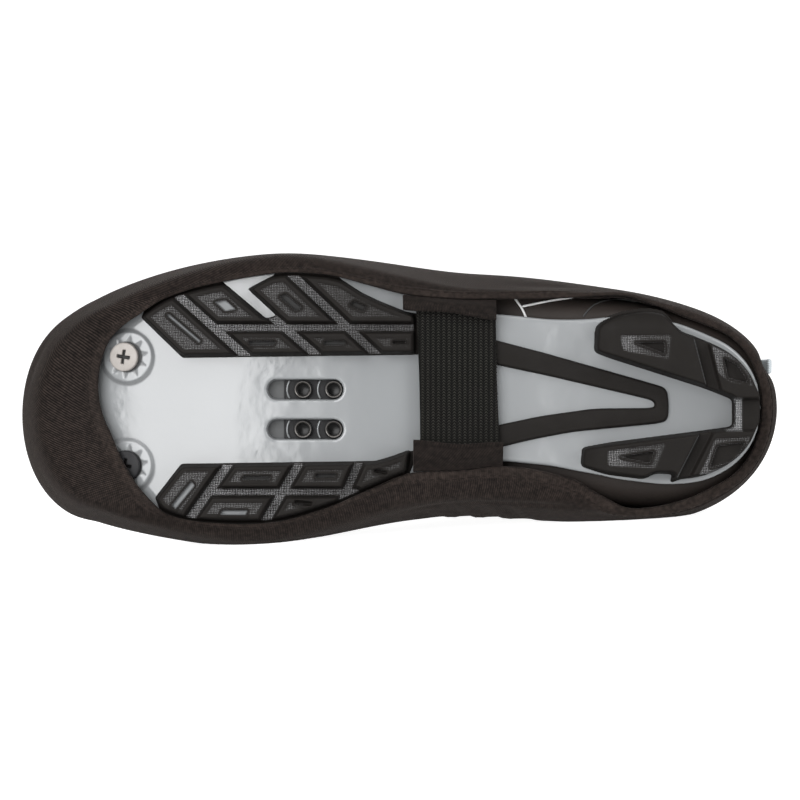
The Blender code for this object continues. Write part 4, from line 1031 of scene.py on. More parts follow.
def stitches(path, normals):
    """A row of stitches on a closed path: short strands, bowed along the normals and thin at their ends."""
    closed, lift = np.concatenate([path, path[:1]]), np.concatenate([normals, normals[:1]])
    way = run_lengths(closed)
    pitch = size("stitch_pitch")
    count = int(way[-1] // pitch)
    share = np.linspace(-0.5, 0.5, len(STITCH_TAPER)) * STITCH_LENGTH / pitch
    at = (np.arange(count)[:, None] + 0.5 + share) * way[-1] / count
    both = (closed, lift)
    spot, out = (np.stack([np.interp(at, way, row[:, k]) for k in range(3)], axis=-1) for row in both)
    bow = 0.7 * np.cos(math.pi * share * pitch / STITCH_LENGTH) - 0.25
    spot = spot + out * (bow * STITCH_RADIUS)[:, None]
    return [tube(line, STITCH_RADIUS * STITCH_TAPER, 6) for line in spot]


class OVERSHOE_OT_cover(bpy.types.Operator):
    """Stretch cover with its turned hem, cuff, creases and topstitching"""
    bl_idname = "overshoe.cover"
    bl_label = "Cover"

    def execute(self, context):
        outer, normals, length, bound = cover_surface()
        rows = shell(outer, normals, size("cover_wall"))
        marks = np.zeros(rows.shape[:2])
        marks[: len(outer)] = bound
        places = cover_pattern(rows)
        places = np.concatenate([places, places[:1]])
        surface = patch(rows, wrap=(True, True), flip=True, uv=places, marks={"bound": marks})
        piece("cover_fabric", [surface], "softshell", "softshell", "cover")
        row = np.abs(length - (size("binding_width") - STITCH_INSET)).argmin(axis=0)
        column = np.arange(outer.shape[1])
        strands = stitches(outer[row, column], normals[row, column])
        piece("hem_stitches", strands, "thread", "softshell", weld=True)
        return {"FINISHED"}


def upper_surface():
    """Rings of the shoe's upper: from the plate's rim out to the cover's rings, set in by wall and room."""
    share, side = turn_shares(UPPER_AROUND)
    x = SOLE_BACK + (SOLE_FRONT - SOLE_BACK) * share
    rim = ring_points(x, sole_centre(x) + side * sole_half(x), plate_top(x) + GAP)
    cover = np.array([cover_ring(step, share, side) for step in UPPER_STEPS])
    inset = size("cover_wall") + (shoe_room(share) * np.where(side > 0, LATERAL_ROOM, 1.0))[:, None]
    inside = press_on_floor(cover - ring_normals(cover) * inset, size("cover_wall") + 2 * GAP)
    angle = np.linspace(0, 1, UPPER_TURN_ROWS + 1)[:-1] * math.pi / 2
    out, up = np.sin(angle), 1 - np.cos(angle)
    turn = rim + (inside[0] - rim) * np.stack([out, out, up], axis=1)[:, None, :]
    return np.concatenate([turn, inside])


def on_turn(rim, flank, line):
    """A line in plan carried on to the upper's turn: the quarter of an ellipse from the rim to the flank."""
    line = np.array(line, float)
    way = run_lengths(line)
    at = np.linspace(0, way[-1], CORD_POINTS)
    x, y = (smooth_curve(way, line[:, k])(at) for k in range(2))
    low_y, low_z = (np.interp(x, rim[:, 0], rim[:, k]) for k in (1, 2))
    high_y, high_z = (np.interp(x, flank[:, 0], flank[:, k]) for k in (1, 2))
    lean = np.clip((y - low_y) / (high_y - low_y), 0.0, 0.99)
    return np.column_stack([x, y, low_z + (high_z - low_z) * (1 - np.sqrt(1 - lean ** 2)) - CORD_DROP])


class OVERSHOE_OT_upper(bpy.types.Operator):
    """Upper of the shoe inside the cover, with the piping at its waist"""
    bl_idname = "overshoe.upper"
    bl_label = "Shoe upper"

    def execute(self, context):
        outer = upper_surface()
        rows = shell(outer, ring_normals(outer), SHOE_WALL)
        surface = patch(rows, wrap=(True, True), flip=True)
        piece("shoe_upper_shell", [surface], "synthetic", "synthetic", "shoe_upper")
        lateral = slice(UPPER_AROUND // 2 + 1)
        rim, flank = outer[0, lateral], outer[UPPER_TURN_ROWS, lateral]
        for look, lines, radius in (("piping", PIPING, PIPING_RADIUS), ("seam", SEAMS, SEAM_RADIUS)):
            cords = [tube(on_turn(rim, flank, line), radius) for line in lines]
            piece(f"upper_{look}", cords, look, "synthetic", weld=True)
        return {"FINISHED"}


def axis_lines(low, high, coarse, dense):
    """Grid lines on an axis: a coarse step, and finer ones within the dense ranges."""
    lines = [np.arange(low, high, coarse)]
    taken = np.zeros(len(lines[0]), bool)
    for first, last, fine in dense:
        taken |= (lines[0] > first) & (lines[0] < last)
        lines.append(np.arange(first, last + fine / 2, fine))
    lines[0] = lines[0][~taken]
    return np.unique(np.round(np.concatenate(lines + [np.array([high])]), 4))


def plate_relief(x, y):
    """Relief of the plate's underside: raised stud seats with a ring of star notches, and the sunk slots, with
    painted shade on the seats' step rings, in the notches, round the screw heads and in the slots.
    """
    relief, shade = np.zeros(x.shape), np.zeros(x.shape)
    for side in (1, -1):
        away_x, away_y = x - STUD_X, y - STUD_SHIFT - side * STUD_HALF_SPACING
        radius = np.hypot(away_x, away_y)
        out = radius - SEAT_RADIUS
        relief += SEAT_STEP * (1 - ramp(out, -1.2, 0.6))
        around = (np.arctan2(away_y, away_x) / (2 * math.pi) - STAR_TURN) * STAR_POINTS
        off = np.abs(around - np.round(around)) * 2 * math.pi * radius / STAR_POINTS
        point = np.clip((STAR_RADIUS - radius) / STAR_TAPER, 0, 1)
        notch = (1 - ramp(off - point, -0.22, 0.12)) * (1 - ramp(radius, STAR_RADIUS - 0.3, STAR_RADIUS))
        relief -= STAR_DEPTH * notch
        over = np.maximum(np.abs(x - CLEAT_X) - (SLOT_LENGTH - SLOT_WIDTH) / 2, 0)
        slot = SLOT_WIDTH / 2 - np.hypot(over, y - side * CLEAT_SPACING / 2)
        relief -= SLOT_DISH * ramp(slot, -0.7, -0.1) + SLOT_DEPTH * ramp(slot, -0.15, 0.35)
        # Painted shade: a grey step ring round each seat, the star notches, a dark ring round the screw head
        # and the slots, paler past the nut plate
        pale = 0.2 * ramp(x, SLOT_PALE_FROM, SLOT_PALE_TO)
        shade = np.maximum.reduce((
            shade, 0.3 * ramp(out, -1.4, -0.8) * (1 - ramp(out, 0.1, 1.2)), 0.5 * notch,
            1 - ramp(radius - STUD_HEAD_RADIUS, 0.25, 0.6), ramp(slot, 0.05, 0.4) * (1 - pale)))
    return relief, shade


class OVERSHOE_OT_plate(bpy.types.Operator):
    """Nylon sole plate with its cleat slots, stud seats and rounded edge"""
    bl_idname = "overshoe.plate"
    bl_label = "Sole plate"

    def execute(self, context):
        x = axis_lines(SOLE_BACK, SOLE_FRONT, PLATE_COARSE_X, PLATE_X_FINE)[:, None]
        fixed = axis_lines(-PLATE_FLAT, PLATE_FLAT, PLATE_COARSE_Y, PLATE_Y_FINE)
        rim = 1 - np.linspace(1, 0, RIM_LINES)[1:] ** RIM_POWER
        half, centre = sole_half(x), sole_centre(x)
        half[[0, -1]] = 0.0
        inner = np.minimum(PLATE_FLAT, FLAT_SHARE * half)
        limit = FLAT_LIMIT * half
        middle = np.clip(fixed[None, :] * inner / PLATE_FLAT, centre - limit, centre + limit)
        left, right = middle[:, :1], middle[:, -1:]
        medial = left + (centre - half - left) * rim[None, ::-1]
        lateral = right + (centre + half - right) * rim[None, :]
        y = np.concatenate([medial, middle, lateral], axis=1)
        inset = half - np.abs(y - centre)
        round_off = np.maximum(PLATE_EDGE ** 2 - np.maximum(PLATE_EDGE - inset, 0) ** 2, 0)
        relief, shade = plate_relief(np.broadcast_to(x, y.shape), y)
        under = ring_points(x, y, plate_height(x) + (PLATE_EDGE - np.sqrt(round_off)) - relief)
        top_y = centre + half * np.linspace(1, -1, RIM_LINES)[None, :]
        sunk = np.abs(x - CLEAT_X - NUT_SHIFT) < NUT_LENGTH / 2 + POCKET_MARGIN
        sunk = sunk & (np.abs(top_y) < NUT_WIDTH / 2 + POCKET_MARGIN)
        over = ring_points(x, top_y, plate_top(x) - POCKET_DEPTH * sunk)
        # The painted shade of the underside goes on as a mark; the top face has none
        marks = np.concatenate([shade, np.zeros(top_y.shape)], axis=1)
        surface = patch(np.concatenate([under, over], axis=1), wrap=(False, True), marks={"shade": marks})
        piece("sole_plate_nylon", [surface], "nylon", "nylon", "sole_plate", weld=True)
        return {"FINISHED"}


def nut_slab(middle, floor):
    """Square slab with bevelled edges: rings of a square that grow, turn over its edge and close again."""
    share = np.linspace(0, 1, 9)[:-1]
    angle = turn_angles(64)
    square = np.maximum(np.abs(np.cos(angle)), np.abs(np.sin(angle)))
    grow = np.r_[share, 0.985, 1, 1, 0.985, share[::-1]][:, None]
    height = np.r_[np.zeros(9), NUT_BEVEL, NUT_THICKNESS - NUT_BEVEL, np.full(9, NUT_THICKNESS)][:, None]
    x = middle + NUT_LENGTH / 2 * grow * (np.cos(angle) / square)
    return ring_points(x, NUT_WIDTH / 2 * grow * (np.sin(angle) / square), floor + height)


class OVERSHOE_OT_cleat(bpy.types.Operator):
    """Nut plate behind the cleat slots, with four threaded collars"""
    bl_idname = "overshoe.cleat"
    bl_label = "Cleat nut plate"

    def execute(self, context):
        floor = float(plate_height(CLEAT_X)) + PLATE_THICKNESS - GAP - NUT_THICKNESS
        middle = CLEAT_X + NUT_SHIFT
        # Painted shade and highlight: the collars are painted near black, the thread in the hole almost as
        # dark, and only the chamfer keeps the steel colour as a bright ring
        dark = np.ones((len(COLLAR), COLLAR_AROUND))
        dark[COLLAR_BRIGHT] = 0.0
        dark[COLLAR_THREAD] = 0.8
        # Painted highlight: a short bright tube on the toe side of each collar, where the flange's rim catches
        # the light
        bend = np.linspace(-FLANGE_ARC_HALF, FLANGE_ARC_HALF, 25)
        arc = FLANGE_ARC_RADIUS * np.stack([np.cos(bend), np.sin(bend), np.zeros(25)], axis=1)
        arc[:, 2] = -FLANGE_ARC_DROP
        collars, arcs = [], []
        for row, side in ((-1, -1), (-1, 1), (1, -1), (1, 1)):
            origin = np.array([middle + row * NUT_ROWS / 2, side * CLEAT_SPACING / 2, floor])
            turned = lathe(COLLAR, COLLAR_AROUND, origin)
            collars.append(patch(turned, wrap=(False, True), flip=True, marks={"shade": dark}))
            arcs.append(tube(origin + arc, FLANGE_ARC_THICK))
        slab = patch(nut_slab(middle, floor), wrap=(False, True), flip=True)
        piece("cleat_nut_plate_steel", [slab], "black_steel", "black_steel", "cleat_nut_plate", weld=True)
        piece("cleat_collars", collars, "collar_steel", "black_steel", weld=True)
        piece("cleat_flanges", arcs, "flange_steel", "black_steel")
        return {"FINISHED"}


def seat_axes():
    """Directions of a stud seat: along the plate's slope, to the lateral side and out of the sole."""
    slope = math.atan2(float(plate_height(STUD_X + 1) - plate_height(STUD_X - 1)), 2)
    axes = (math.cos(slope), 0, math.sin(slope)), (0, 1, 0), (math.sin(slope), 0, -math.cos(slope))
    return (np.array(axis) for axis in axes)


def screw_patch(side, head_radius):
    """A pan-head screw: a low dome whose rim rolls over, with a cross sunk into it on a polar grid."""
    radius = np.r_[np.linspace(0, head_radius - 0.5, 34), head_radius - HEAD_ROLL_IN]
    top = STUD_HEAD_HEIGHT + HEAD_CROWN * (1 - (radius / head_radius) ** 2)
    top[-len(HEAD_ROLL_DOWN):] = STUD_HEAD_HEIGHT - HEAD_ROLL_DOWN
    angle = turn_angles(96) + 0.1
    u, v = HEAD_OVAL * radius[:, None] * np.cos(angle), radius[:, None] * np.sin(angle)
    one, two = np.abs(u + CROSS_TURN * v), np.abs(v - CROSS_TURN * u)
    pairs = ((two, one), (one, two))
    arms = [ramp(CROSS_HALF_WIDTH - a, 0, 0.3) * ramp(CROSS_REACH - b, 0, 0.5) for a, b in pairs]
    arm = np.maximum(*arms)
    height = SEAT_STEP + HEAD_LIFT + top[:, None] - CROSS_DEPTH * arm
    low = np.full((1, len(angle)), -SHANK_DEPTH)
    shank = np.array([[SHANK_SHARE], [0.0]])
    grid_u, grid_v = (np.concatenate([way, shank * way[-1:]])[..., None] for way in (u, v))
    grid_h = np.concatenate([height, low, low])[..., None]
    along, across, out = seat_axes()
    forward = STUD_X + STUD_FORWARD * (1 + side)
    origin = np.array([forward, STUD_SHIFT + side * STUD_HALF_SPACING, float(plate_height(forward))])
    # Painted shade: the sunk cross is painted near black, and so is the shank
    dark = np.concatenate([ramp(arm, 0.25, 0.8), np.ones((2, len(angle)))])
    points = origin + grid_u * along + grid_v * across + grid_h * out
    return patch(points, wrap=(False, True), marks={"shade": dark})


class OVERSHOE_OT_studs(bpy.types.Operator):
    """Cross-head screws in the two toe stud seats"""
    bl_idname = "overshoe.studs"
    bl_label = "Toe studs"

    def execute(self, context):
        for word, side, radius, look in (
            ("lateral", 1, STUD_HEAD_RADIUS, "steel"), ("medial", -1, BLACK_HEAD_RADIUS, "black_steel"),
        ):
            screw = screw_patch(side, radius)
            piece(f"toe_screw_{word}", [screw], look, look, f"toe_stud_{word}", weld=True)
        return {"FINISHED"}


def hem_edge(start, end, side, steps, clear):
    """Points inside the cover's hem by a clearance between two stations."""
    x = np.linspace(start, end, steps)
    return list(zip(x, hem_centre(x) + side * (hem_half(x) - clear)))


def lateral_outline(clear):
    """Edge of the lateral forefoot tread, with a clearance to the hem."""
    outline = [*LATERAL_INNER, *hem_edge(*LATERAL_FRONT_RUN, clear), *LATERAL_NOTCH]
    return np.array([*outline, *hem_edge(*LATERAL_REAR_RUN, clear), *LATERAL_REAR])


def medial_outline(clear):
    """Edge of the medial forefoot tread, with a clearance to the hem."""
    return np.array([*hem_edge(*MEDIAL_RUN, clear), *MEDIAL_INNER])


def sole_edge(start, end, side, inset):
    """Points inside the sole's outline at the heel between two stations."""
    x = np.linspace(start, end, HEEL_REAR_STEPS)
    return list(zip(x, sole_centre(x) + side * np.maximum(0.0, sole_half(x) - inset)))


def slot_outline(x, y, along, across, turn_degrees, lean):
    """A lozenge in plan: a slanted box with its long side turned."""
    angle = math.radians(turn_degrees)
    forward = np.array([math.cos(angle), math.sin(angle)]) * along / 2
    side = np.array([-math.sin(angle) - lean, math.cos(angle)])
    side *= across / 2 / np.linalg.norm(side)
    centre = np.array([x, y])
    near = [centre - forward - side, centre + forward - side]
    return [*near, centre + forward + side, centre - forward + side]


def relief_grid(outline):
    """Plan grid that covers an outline with a margin of a millimetre."""
    low, high = np.min(outline, axis=0) - 1.0, np.max(outline, axis=0) + 1.0
    cell = size("relief_cell")
    return np.meshgrid(np.arange(low[0], high[0], cell), np.arange(low[1], high[1], cell), indexing="ij")


def relief_patch(x, y, height, edge, beads, shine):
    """A moulded skin at heights under the plate, kept in cells with a corner inside its edge or near it."""
    nearest = np.maximum.reduce((edge[:-1, :-1], edge[1:, :-1], edge[:-1, 1:], edge[1:, 1:]))
    points = ring_points(x, y, plate_height(x) - GAP - height)
    return patch(points, keep=nearest > SKIN_MARGIN, marks={"beads": beads, "shine": shine})


def slot_relief(away):
    """A slot with a raised lip: rises just outside its outline and sinks within it."""
    lip = ramp(away, -1.05, -0.7) * (1 - ramp(away, -0.25, 0.1))
    return LUG_LIP * lip - LUG_SLOT_DEPTH * ramp(away, -0.15, 0.35), lip


def forefoot_patch(outline, grooves, slots):
    """Forefoot tread over the plan: a thin flange runs out under the hem, the distance to the nearest groove
    or edge raises each lug on a drafted wall, steps down inside its frame to a beaded band, and a slot with a
    lip sinks in the middle."""
    flange = outline(FLANGE_CLEARANCE)
    flange[flange[:, 0] < TUCK_STATION, 0] -= STRAP_TUCK
    x, y = relief_grid(flange)
    skirt = inside_distance(x, y, flange)
    edge = inside_distance(x, y, rounded(outline(LUG_CLEARANCE), 1.6))
    lug = np.minimum.reduce([edge] + [strip_distance(x, y, *groove) for groove in grooves])
    width = size("lug_frame")
    band = ramp(lug, width, width + 0.45)
    height = SKIN_ROOT + (FLANGE_HEIGHT - SKIN_ROOT) * ramp(skirt, -0.5, 0.2)
    height += (TREAD_BASE - FLANGE_HEIGHT) * ramp(edge, -0.5, 0.3)
    height += (LUG_DEPTH - TREAD_BASE) * ramp(lug, 0.0, 1.25) - BAND_STEP * band
    # The beads mark places the painted highlight of the bead tips: full in the grooves, weaker on the bands
    beads = np.maximum(ramp(edge, 0.1, 0.5) * (1 - ramp(lug, -0.15, 0.15)), 0.3 * band)
    shine = np.zeros(x.shape)
    clear = ramp(lug, 1.1, 1.7)
    for *place, bright in slots:
        away = inside_distance(x, y, rounded(slot_outline(*place), 0.5))
        sink, lip = slot_relief(away)
        height += sink * clear
        floor = ramp(away, 0.0, 0.35) * clear
        beads *= (1 - np.maximum(lip * clear, floor))
        # Painted reflection: slot floors are blended towards the plate's silver and made glossier, by each
        # slot's share
        shine = np.maximum(shine, bright * floor)
    # The painted highlight of the beads is fainter towards the rear of the forefoot
    beads *= BEAD_FADED + (1 - BEAD_FADED) * ramp(x, *BEAD_FADE)
    return relief_patch(x, y, height, skirt, beads, shine)


class OVERSHOE_OT_treads(bpy.types.Operator):
    """Forefoot treads of moulded rubber on both sides of the cleat bed"""
    bl_idname = "overshoe.treads"
    bl_label = "Forefoot treads"

    def execute(self, context):
        for word, *plan in (
            ("lateral", lateral_outline, LATERAL_GROOVES, LATERAL_SLOTS),
            ("medial", medial_outline, MEDIAL_GROOVES, MEDIAL_SLOTS),
        ):
            name, node = f"forefoot_rubber_{word}", f"forefoot_tread_{word}"
            piece(name, [forefoot_patch(*plan)], "rubber", "rubber", node, back=TREAD_BACK)
        return {"FINISHED"}


def heel_outline():
    """Edge of the heel tread: both arms, and the sole's own edge round the back."""
    rear = sole_edge(HEEL_REAR_FROM, HEEL_REAR_TO, 1, HEEL_INSET_LATERAL)
    rear += sole_edge(HEEL_REAR_TO, HEEL_REAR_FROM, -1, HEEL_INSET_MEDIAL)
    outline = [*HEEL_LATERAL_ARM, *HEEL_LATERAL_FLARE, *rear, *HEEL_MEDIAL_NOTCH, *HEEL_MEDIAL_ARM]
    return rounded(outline, 1.8, 4)


class OVERSHOE_OT_heel(bpy.types.Operator):
    """Heel tread: two tall lugs with beaded bands, joined round the back by a low bridge"""
    bl_idname = "overshoe.heel"
    bl_label = "Heel tread"

    def execute(self, context):
        outline = heel_outline()
        x, y = relief_grid(outline)
        edge = inside_distance(x, y, outline)
        full = plate_height(x) - GAP
        groove = np.minimum.reduce([strip_distance(x, y, *line) for line in HEEL_GROOVES])
        height = SKIN_ROOT + (full - SKIN_ROOT) * ramp(edge, -0.5, 1.2)
        flare = FLARE_BEND * np.maximum(y - FLARE_FROM, 0) ** 2
        height -= flare + TIP_BEND * np.maximum(x - TIP_FROM, 0) ** TIP_POWER
        height = np.maximum(height, SKIN_ROOT)
        height = np.minimum(height, full - HEEL_GROOVE_LEFT * (1 - ramp(groove, 0.0, 0.9)))
        walls = (ramp(x, *BRIDGE_FRONT), ramp(y, *BRIDGE_LATERAL), ramp(-y, *BRIDGE_MEDIAL))
        bridge = np.maximum.reduce(walls)
        height = np.minimum(height, full - BRIDGE_LEFT * (1 - bridge))
        beads = ramp(edge, 0.2, 0.6) * (1 - bridge) * ramp(x, *BRIDGE_BEADS)
        # Painted highlight: a little over the beaded parts, and along the front edge of each groove
        shine = 0.25 * beads
        for line in HEEL_GROOVES:
            x0, y0, x1, y1, _ = line
            front = x > x0 + (y - y0) / (y1 - y0) * (x1 - x0)
            away = strip_distance(x, y, *line)
            rim = ramp(away, 0.1, 0.35) * (1 - ramp(away, 0.55, 0.8)) * front * ramp(edge, 0.8, 1.4)
            shine = np.maximum(shine, 0.3 * rim)
        for band, slot in zip(HEEL_BANDS, HEEL_SLOTS):
            inside = ramp(inside_distance(x, y, rounded(band, 1.2)), 0.0, 0.45)
            away = inside_distance(x, y, rounded(slot, 0.8))
            sink, lip = slot_relief(away)
            height += (sink - BAND_STEP) * inside
            # Painted light: the beads of each band grow brighter towards its front end
            lit = 0.42 + 0.58 * ramp(x - np.mean(np.array(band)[:, 0]), -1.0, 7.0)
            beads = np.maximum(beads, 0.5 * inside * lit * (1 - np.maximum(lip, ramp(away, 0.0, 0.35))))
        surface = relief_patch(x, y, height, edge, beads, shine)
        piece("heel_rubber", [surface], "rubber", "rubber", "heel_tread", back=TREAD_BACK)
        return {"FINISHED"}


class OVERSHOE_OT_arch(bpy.types.Operator):
    """Rubber inlay of the arch: a V with rounded edges"""
    bl_idname = "overshoe.arch"
    bl_label = "Arch inlay"

    def execute(self, context):
        outline = rounded(ARCH_OUTLINE, 4.0, 6)
        x, y = relief_grid(outline)
        edge = inside_distance(x, y, outline)
        height = SKIN_ROOT + (ARCH_THICKNESS - SKIN_ROOT) * ramp(edge, -0.5, 0.55)
        height += ARCH_CROWN * ramp(edge, 0.5, 3.0)
        plain = np.zeros(x.shape)
        surface = relief_patch(x, y, height, edge, plain, plain)
        piece("arch_inlay_rubber", [surface], "rubber", "rubber", "arch_strip", back=ARCH_BACK)
        return {"FINISHED"}


def band_patch(lines, normals, thickness, uv, **settings):
    """A flat band with round edges: a grid of lines along it, thickened to both sides, closed at its ends."""
    out = normals * thickness / 2
    column = np.arange(lines.shape[1])
    edge = np.clip(np.minimum(column, column[::-1]) / 2.0, 0, 1)
    swell = np.sqrt(1 - (1 - edge) ** 2)[None, :, None] * 0.98 + 0.02
    rows = np.concatenate([lines + out * swell, (lines - out * swell)[:, ::-1]], axis=1)
    places = np.concatenate([uv, uv[:, ::-1], uv[:, :1]], axis=1)
    middle = (rows[[0, -1]] + rows[[0, -1]][:, ::-1]) / 2
    rows = np.concatenate([middle[:1], rows, middle[1:]])
    places = np.concatenate([places[:1], places, places[-1:]])
    return patch(rows, wrap=(False, True), uv=places, **settings)


def tab_lines(tab, side):
    """Middle surface of a folded tab: from just inside the hem it eases down to lie over the strap's end."""
    k = np.linspace(0, 1, 60)[:, None]
    x = tab["rear"] + (tab["front"] - tab["rear"]) * k
    share = np.linspace(0, 1, 44)[None, :]
    inner = tab["inner_rear"] + (tab["inner_front"] - tab["inner_rear"]) * k
    inner = inner + side * TAB_BOW * np.sin(math.pi * k) ** 2
    outer = hem_centre(x) + side * (hem_half(x) - 2 * GAP)
    outer_height = plate_height(x) + hem_drop(x) - TAB_HEM_DROP + TAB_THICKNESS / 2
    inner_height = strap_height(x) - 2 * GAP - TAB_THICKNESS / 2
    ease = ramp(share, 0.0, TAB_RISE_SHARE)
    z = outer_height + (inner_height - outer_height) * ease - TAB_ROLL * bell(share - 0.93, 0.06)
    return ring_points(x, outer + (inner - outer) * share, z)


class OVERSHOE_OT_strap(bpy.types.Operator):
    """Elastic strap under the arch and the two folded tabs that it is sewn to"""
    bl_idname = "overshoe.strap"
    bl_label = "Strap and tabs"

    def execute(self, context):
        y = np.linspace(STRAP_MEDIAL, STRAP_LATERAL, 90)[:, None]
        across = np.linspace(0, 1, 64)[None, :]
        x = STRAP_REAR + (STRAP_FRONT - STRAP_REAR) * across + STRAP_SKEW * y
        waist = STRAP_WAIST * np.sin(math.pi * (y - STRAP_MEDIAL) / (STRAP_LATERAL - STRAP_MEDIAL))
        x = x + waist * (1 - 2 * across)
        lines = ring_points(x, y, strap_height(x - STRAP_SKEW * y) + STRAP_THICKNESS / 2)
        down = np.broadcast_to((0.0, 0.0, -1.0), lines.shape)
        surface = band_patch(lines, down, STRAP_THICKNESS, lines[..., :2])
        piece("strap_elastic", [surface], "webbing", "webbing", "strap", weld=True)
        for word, side, tab in TABS:
            lines = tab_lines(tab, side)
            if side > 0:
                lines = lines[:, ::-1]
            surface = band_patch(lines, sheet_normals(lines), TAB_THICKNESS, lines[..., :2], flip=True)
            surface["marks"]["bound"] = np.full(surface["points"].shape[:2], -1.0)
            piece(f"tab_{word}_fabric", [surface], "softshell", "softshell", f"strap_tab_{word}", weld=True)
        return {"FINISHED"}


def back_of_cover(height):
    """Station of the cover's back at the pull loop, at heights on the shaft."""
    share, side = turn_shares(BACK_AROUND)
    quarter = slice(BACK_AROUND // 4)
    rings = [cover_ring(step, share, side) for step in np.linspace(0, len(RINGS["height"]) - 1, BACK_RINGS)]
    at_loop = [np.interp(LOOP_Y, ring[quarter, 1], ring[quarter, 0]) for ring in rings]
    return np.interp(height, [ring[0, 2] for ring in rings], at_loop)


class OVERSHOE_OT_loop(bpy.types.Operator):
    """Pull loop of reflective tape on the back of the heel"""
    bl_idname = "overshoe.loop"
    bl_label = "Pull loop"

    def execute(self, context):
        k = np.linspace(0, 1, 61)[:, None]
        z = LOOP_LOW + (LOOP_HIGH - LOOP_LOW) * k
        low, high = back_of_cover(np.array([LOOP_LOW, LOOP_HIGH]))
        bow = LOOP_REACH * np.maximum(np.sin(math.pi * k), 0) ** LOOP_FULLNESS
        x = low + (high - low) * k - LOOP_CLEAR - LOOP_THICKNESS / 2 - bow
        y = np.linspace(LOOP_Y - LOOP_WIDTH / 2, LOOP_Y + LOOP_WIDTH / 2, 15)
        lines = ring_points(x, y, z)
        surface = band_patch(lines, sheet_normals(lines), LOOP_THICKNESS, lines[..., 1:], flip=True)
        piece("pull_loop_tape", [surface], "reflective", "reflective", "heel_pull_loop", weld=True)
        return {"FINISHED"}


class OVERSHOE_OT_insole(bpy.types.Operator):
    """Insole in the shoe, with a brushed top"""
    bl_idname = "overshoe.insole"
    bl_label = "Insole"

    def execute(self, context):
        share = turn_shares(INSOLE_AROUND)[0][: INSOLE_AROUND // 2 + 1, None]
        back, front = SOLE_BACK + INSOLE_INSET, SOLE_FRONT - INSOLE_INSET
        x = back + (front - back) * share
        half, centre = np.maximum(sole_half(x) - INSOLE_INSET, 0.0), sole_centre(x)
        half[[0, -1]] = 0.0
        angle = turn_angles(64)[None, :]
        across, thick = (np.sign(wave) * np.abs(wave) ** 0.5 for wave in (np.cos(angle), np.sin(angle)))
        low = plate_top(x) + 2 * GAP
        points = ring_points(x, centre + half * across, low + INSOLE_THICKNESS * (1 + thick) / 2)
        surface = patch(points, wrap=(False, True), flip=True)
        piece("insole_brushed", [surface], "foam", "foam", "insole", weld=True)
        return {"FINISHED"}


def stage_finish():
    """White paper: cloudy and dim in the shoe's reflections, lit up for the camera and for diffuse light."""
    made, tree, shader = new_finish("stage_paper")
    tone = mottle(tree, 3.0, 0.5, 0.4)
    feed(tree, shader, {
        "Base Color": blend(tree, tone, (0.50, 0.50, 0.50, 1), (0.54, 0.54, 0.54, 1)),
        "Roughness": 0.9, "Specular IOR Level": 0.1})
    path = add(tree, "ShaderNodeLightPath").outputs
    seen = calc(tree, "MULTIPLY", path["Is Camera Ray"], 0.95)
    strength = calc(tree, "MULTIPLY_ADD", path["Is Diffuse Ray"], 0.9, seen)
    white = add(tree, "ShaderNodeEmission", {"Color": (1.0, 1.0, 1.0, 1.0), "Strength": strength})
    both = add(tree, "ShaderNodeAddShader", {0: shader.outputs[0], 1: white.outputs[0]})
    feed(tree, tree.nodes["Material Output"], {"Surface": both.outputs[0]})
    return made


def linked(name, data, place, axes):
    """A light or camera in the scene, at a place and with its axes as columns."""
    obj = bpy.data.objects.new(name, data)
    bpy.context.scene.collection.objects.link(obj)
    obj.matrix_world = Matrix.Translation(place) @ Matrix(np.column_stack(axes).tolist()).to_4x4()
    return obj


def soft_box(name, place, reach, power):
    """A soft box that looks at the shoe."""
    light = bpy.data.lights.new(name, "AREA")
    light.shape = "RECTANGLE"
    light.size, light.size_y = reach
    light.energy = power
    away = unit(np.array(place) - np.array(LIGHT_TARGET))
    side = unit(np.cross((0.0, 0.0, 1.0), away))
    linked(name, light, place, (side, np.cross(away, side), away))


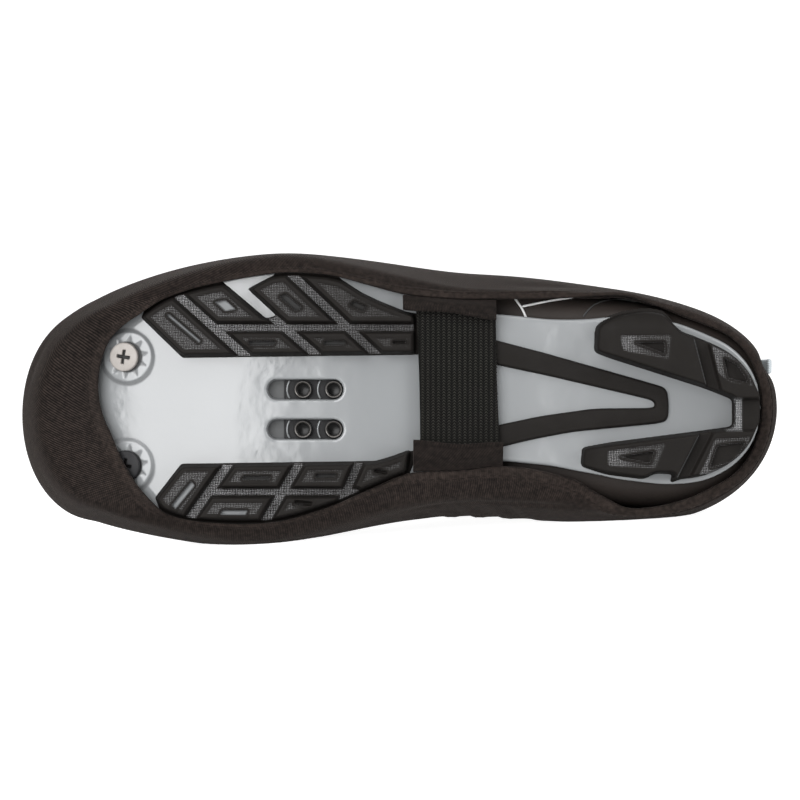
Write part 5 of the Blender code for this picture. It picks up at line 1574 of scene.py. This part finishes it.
class OVERSHOE_OT_stage(bpy.types.Operator):
    """White floor that sweeps up behind, soft boxes, and the camera square on to the sole"""
    bl_idname = "overshoe.stage"
    bl_label = "Stage"

    def execute(self, context):
        along = np.linspace(-FLOOR_REACH, FLOOR_REACH, 25)[:, None]
        angle = np.linspace(0, math.pi / 2, 17)[1:]
        flat = np.linspace(-FLOOR_REACH, SWEEP_FROM, 12)
        run_y = np.r_[flat, SWEEP_FROM + SWEEP_RADIUS * np.sin(angle), SWEEP_FROM + SWEEP_RADIUS]
        run_z = np.r_[0 * flat, SWEEP_RADIUS - SWEEP_RADIUS * np.cos(angle), WALL_HEIGHT]
        world = ring_points(along, run_y[None, :], run_z[None, :])
        floor = build("studio_sweep", [patch((world / MM - LIE_PLACE) @ LIE)], stage_finish())
        scene = context.scene
        scene.view_settings.view_transform = "Standard"
        scene.world = bpy.data.worlds.new("studio")
        scene.world.use_nodes = True
        sky = {"Color": (1.0, 1.0, 1.0, 1.0), "Strength": SKY_STRENGTH}
        feed(scene.world.node_tree, scene.world.node_tree.nodes["Background"], sky)
        for name, box in SOFT_BOXES.items():
            soft_box(name, *box)
        camera = bpy.data.cameras.new("camera")
        camera.lens, camera.sensor_width = CAMERA_LENS, CAMERA_SENSOR
        camera.clip_start, camera.clip_end = 0.05, 20.0
        axes = (-LIE[:, 0], LIE[:, 1], -LIE[:, 2])
        scene.camera = linked("camera", camera, laid(np.array(CAMERA_EYE)), axes)
        return {"FINISHED"}


PIECES = (
    OVERSHOE_OT_cover, OVERSHOE_OT_upper, OVERSHOE_OT_plate, OVERSHOE_OT_cleat, OVERSHOE_OT_studs,
    OVERSHOE_OT_treads, OVERSHOE_OT_heel, OVERSHOE_OT_arch, OVERSHOE_OT_strap, OVERSHOE_OT_loop,
    OVERSHOE_OT_insole, OVERSHOE_OT_stage,
)


class OVERSHOE_PT_panel(bpy.types.Panel):
    """Sizes, colours and steps of the overshoe"""
    bl_idname = "OVERSHOE_PT_panel"
    bl_label = "Overshoe"
    bl_space_type = "VIEW_3D"
    bl_region_type = "UI"
    bl_category = "Overshoe"

    def draw(self, context):
        column = self.layout.column()
        for kind in PIECES:
            column.operator(kind.bl_idname)
        for group in (context.scene.overshoe_sizes, context.scene.overshoe_colours):
            for name in group.bl_rna.properties.keys():
                if name not in ("rna_type", "name"):
                    column.prop(group, name)


CLASSES = (OvershoeSizes, OvershoeColours, *PIECES, OVERSHOE_PT_panel)


def register():
    for kind in CLASSES:
        bpy.utils.register_class(kind)
    bpy.types.Scene.overshoe_sizes = PointerProperty(type=OvershoeSizes)
    bpy.types.Scene.overshoe_colours = PointerProperty(type=OvershoeColours)


def unregister():
    del bpy.types.Scene.overshoe_colours
    del bpy.types.Scene.overshoe_sizes
    for kind in reversed(CLASSES):
        bpy.utils.unregister_class(kind)


def main():
    register()
    for kind in PIECES:
        space, name = kind.bl_idname.split(".")
        getattr(getattr(bpy.ops, space), name)()


if __name__ == "__main__":
    main()
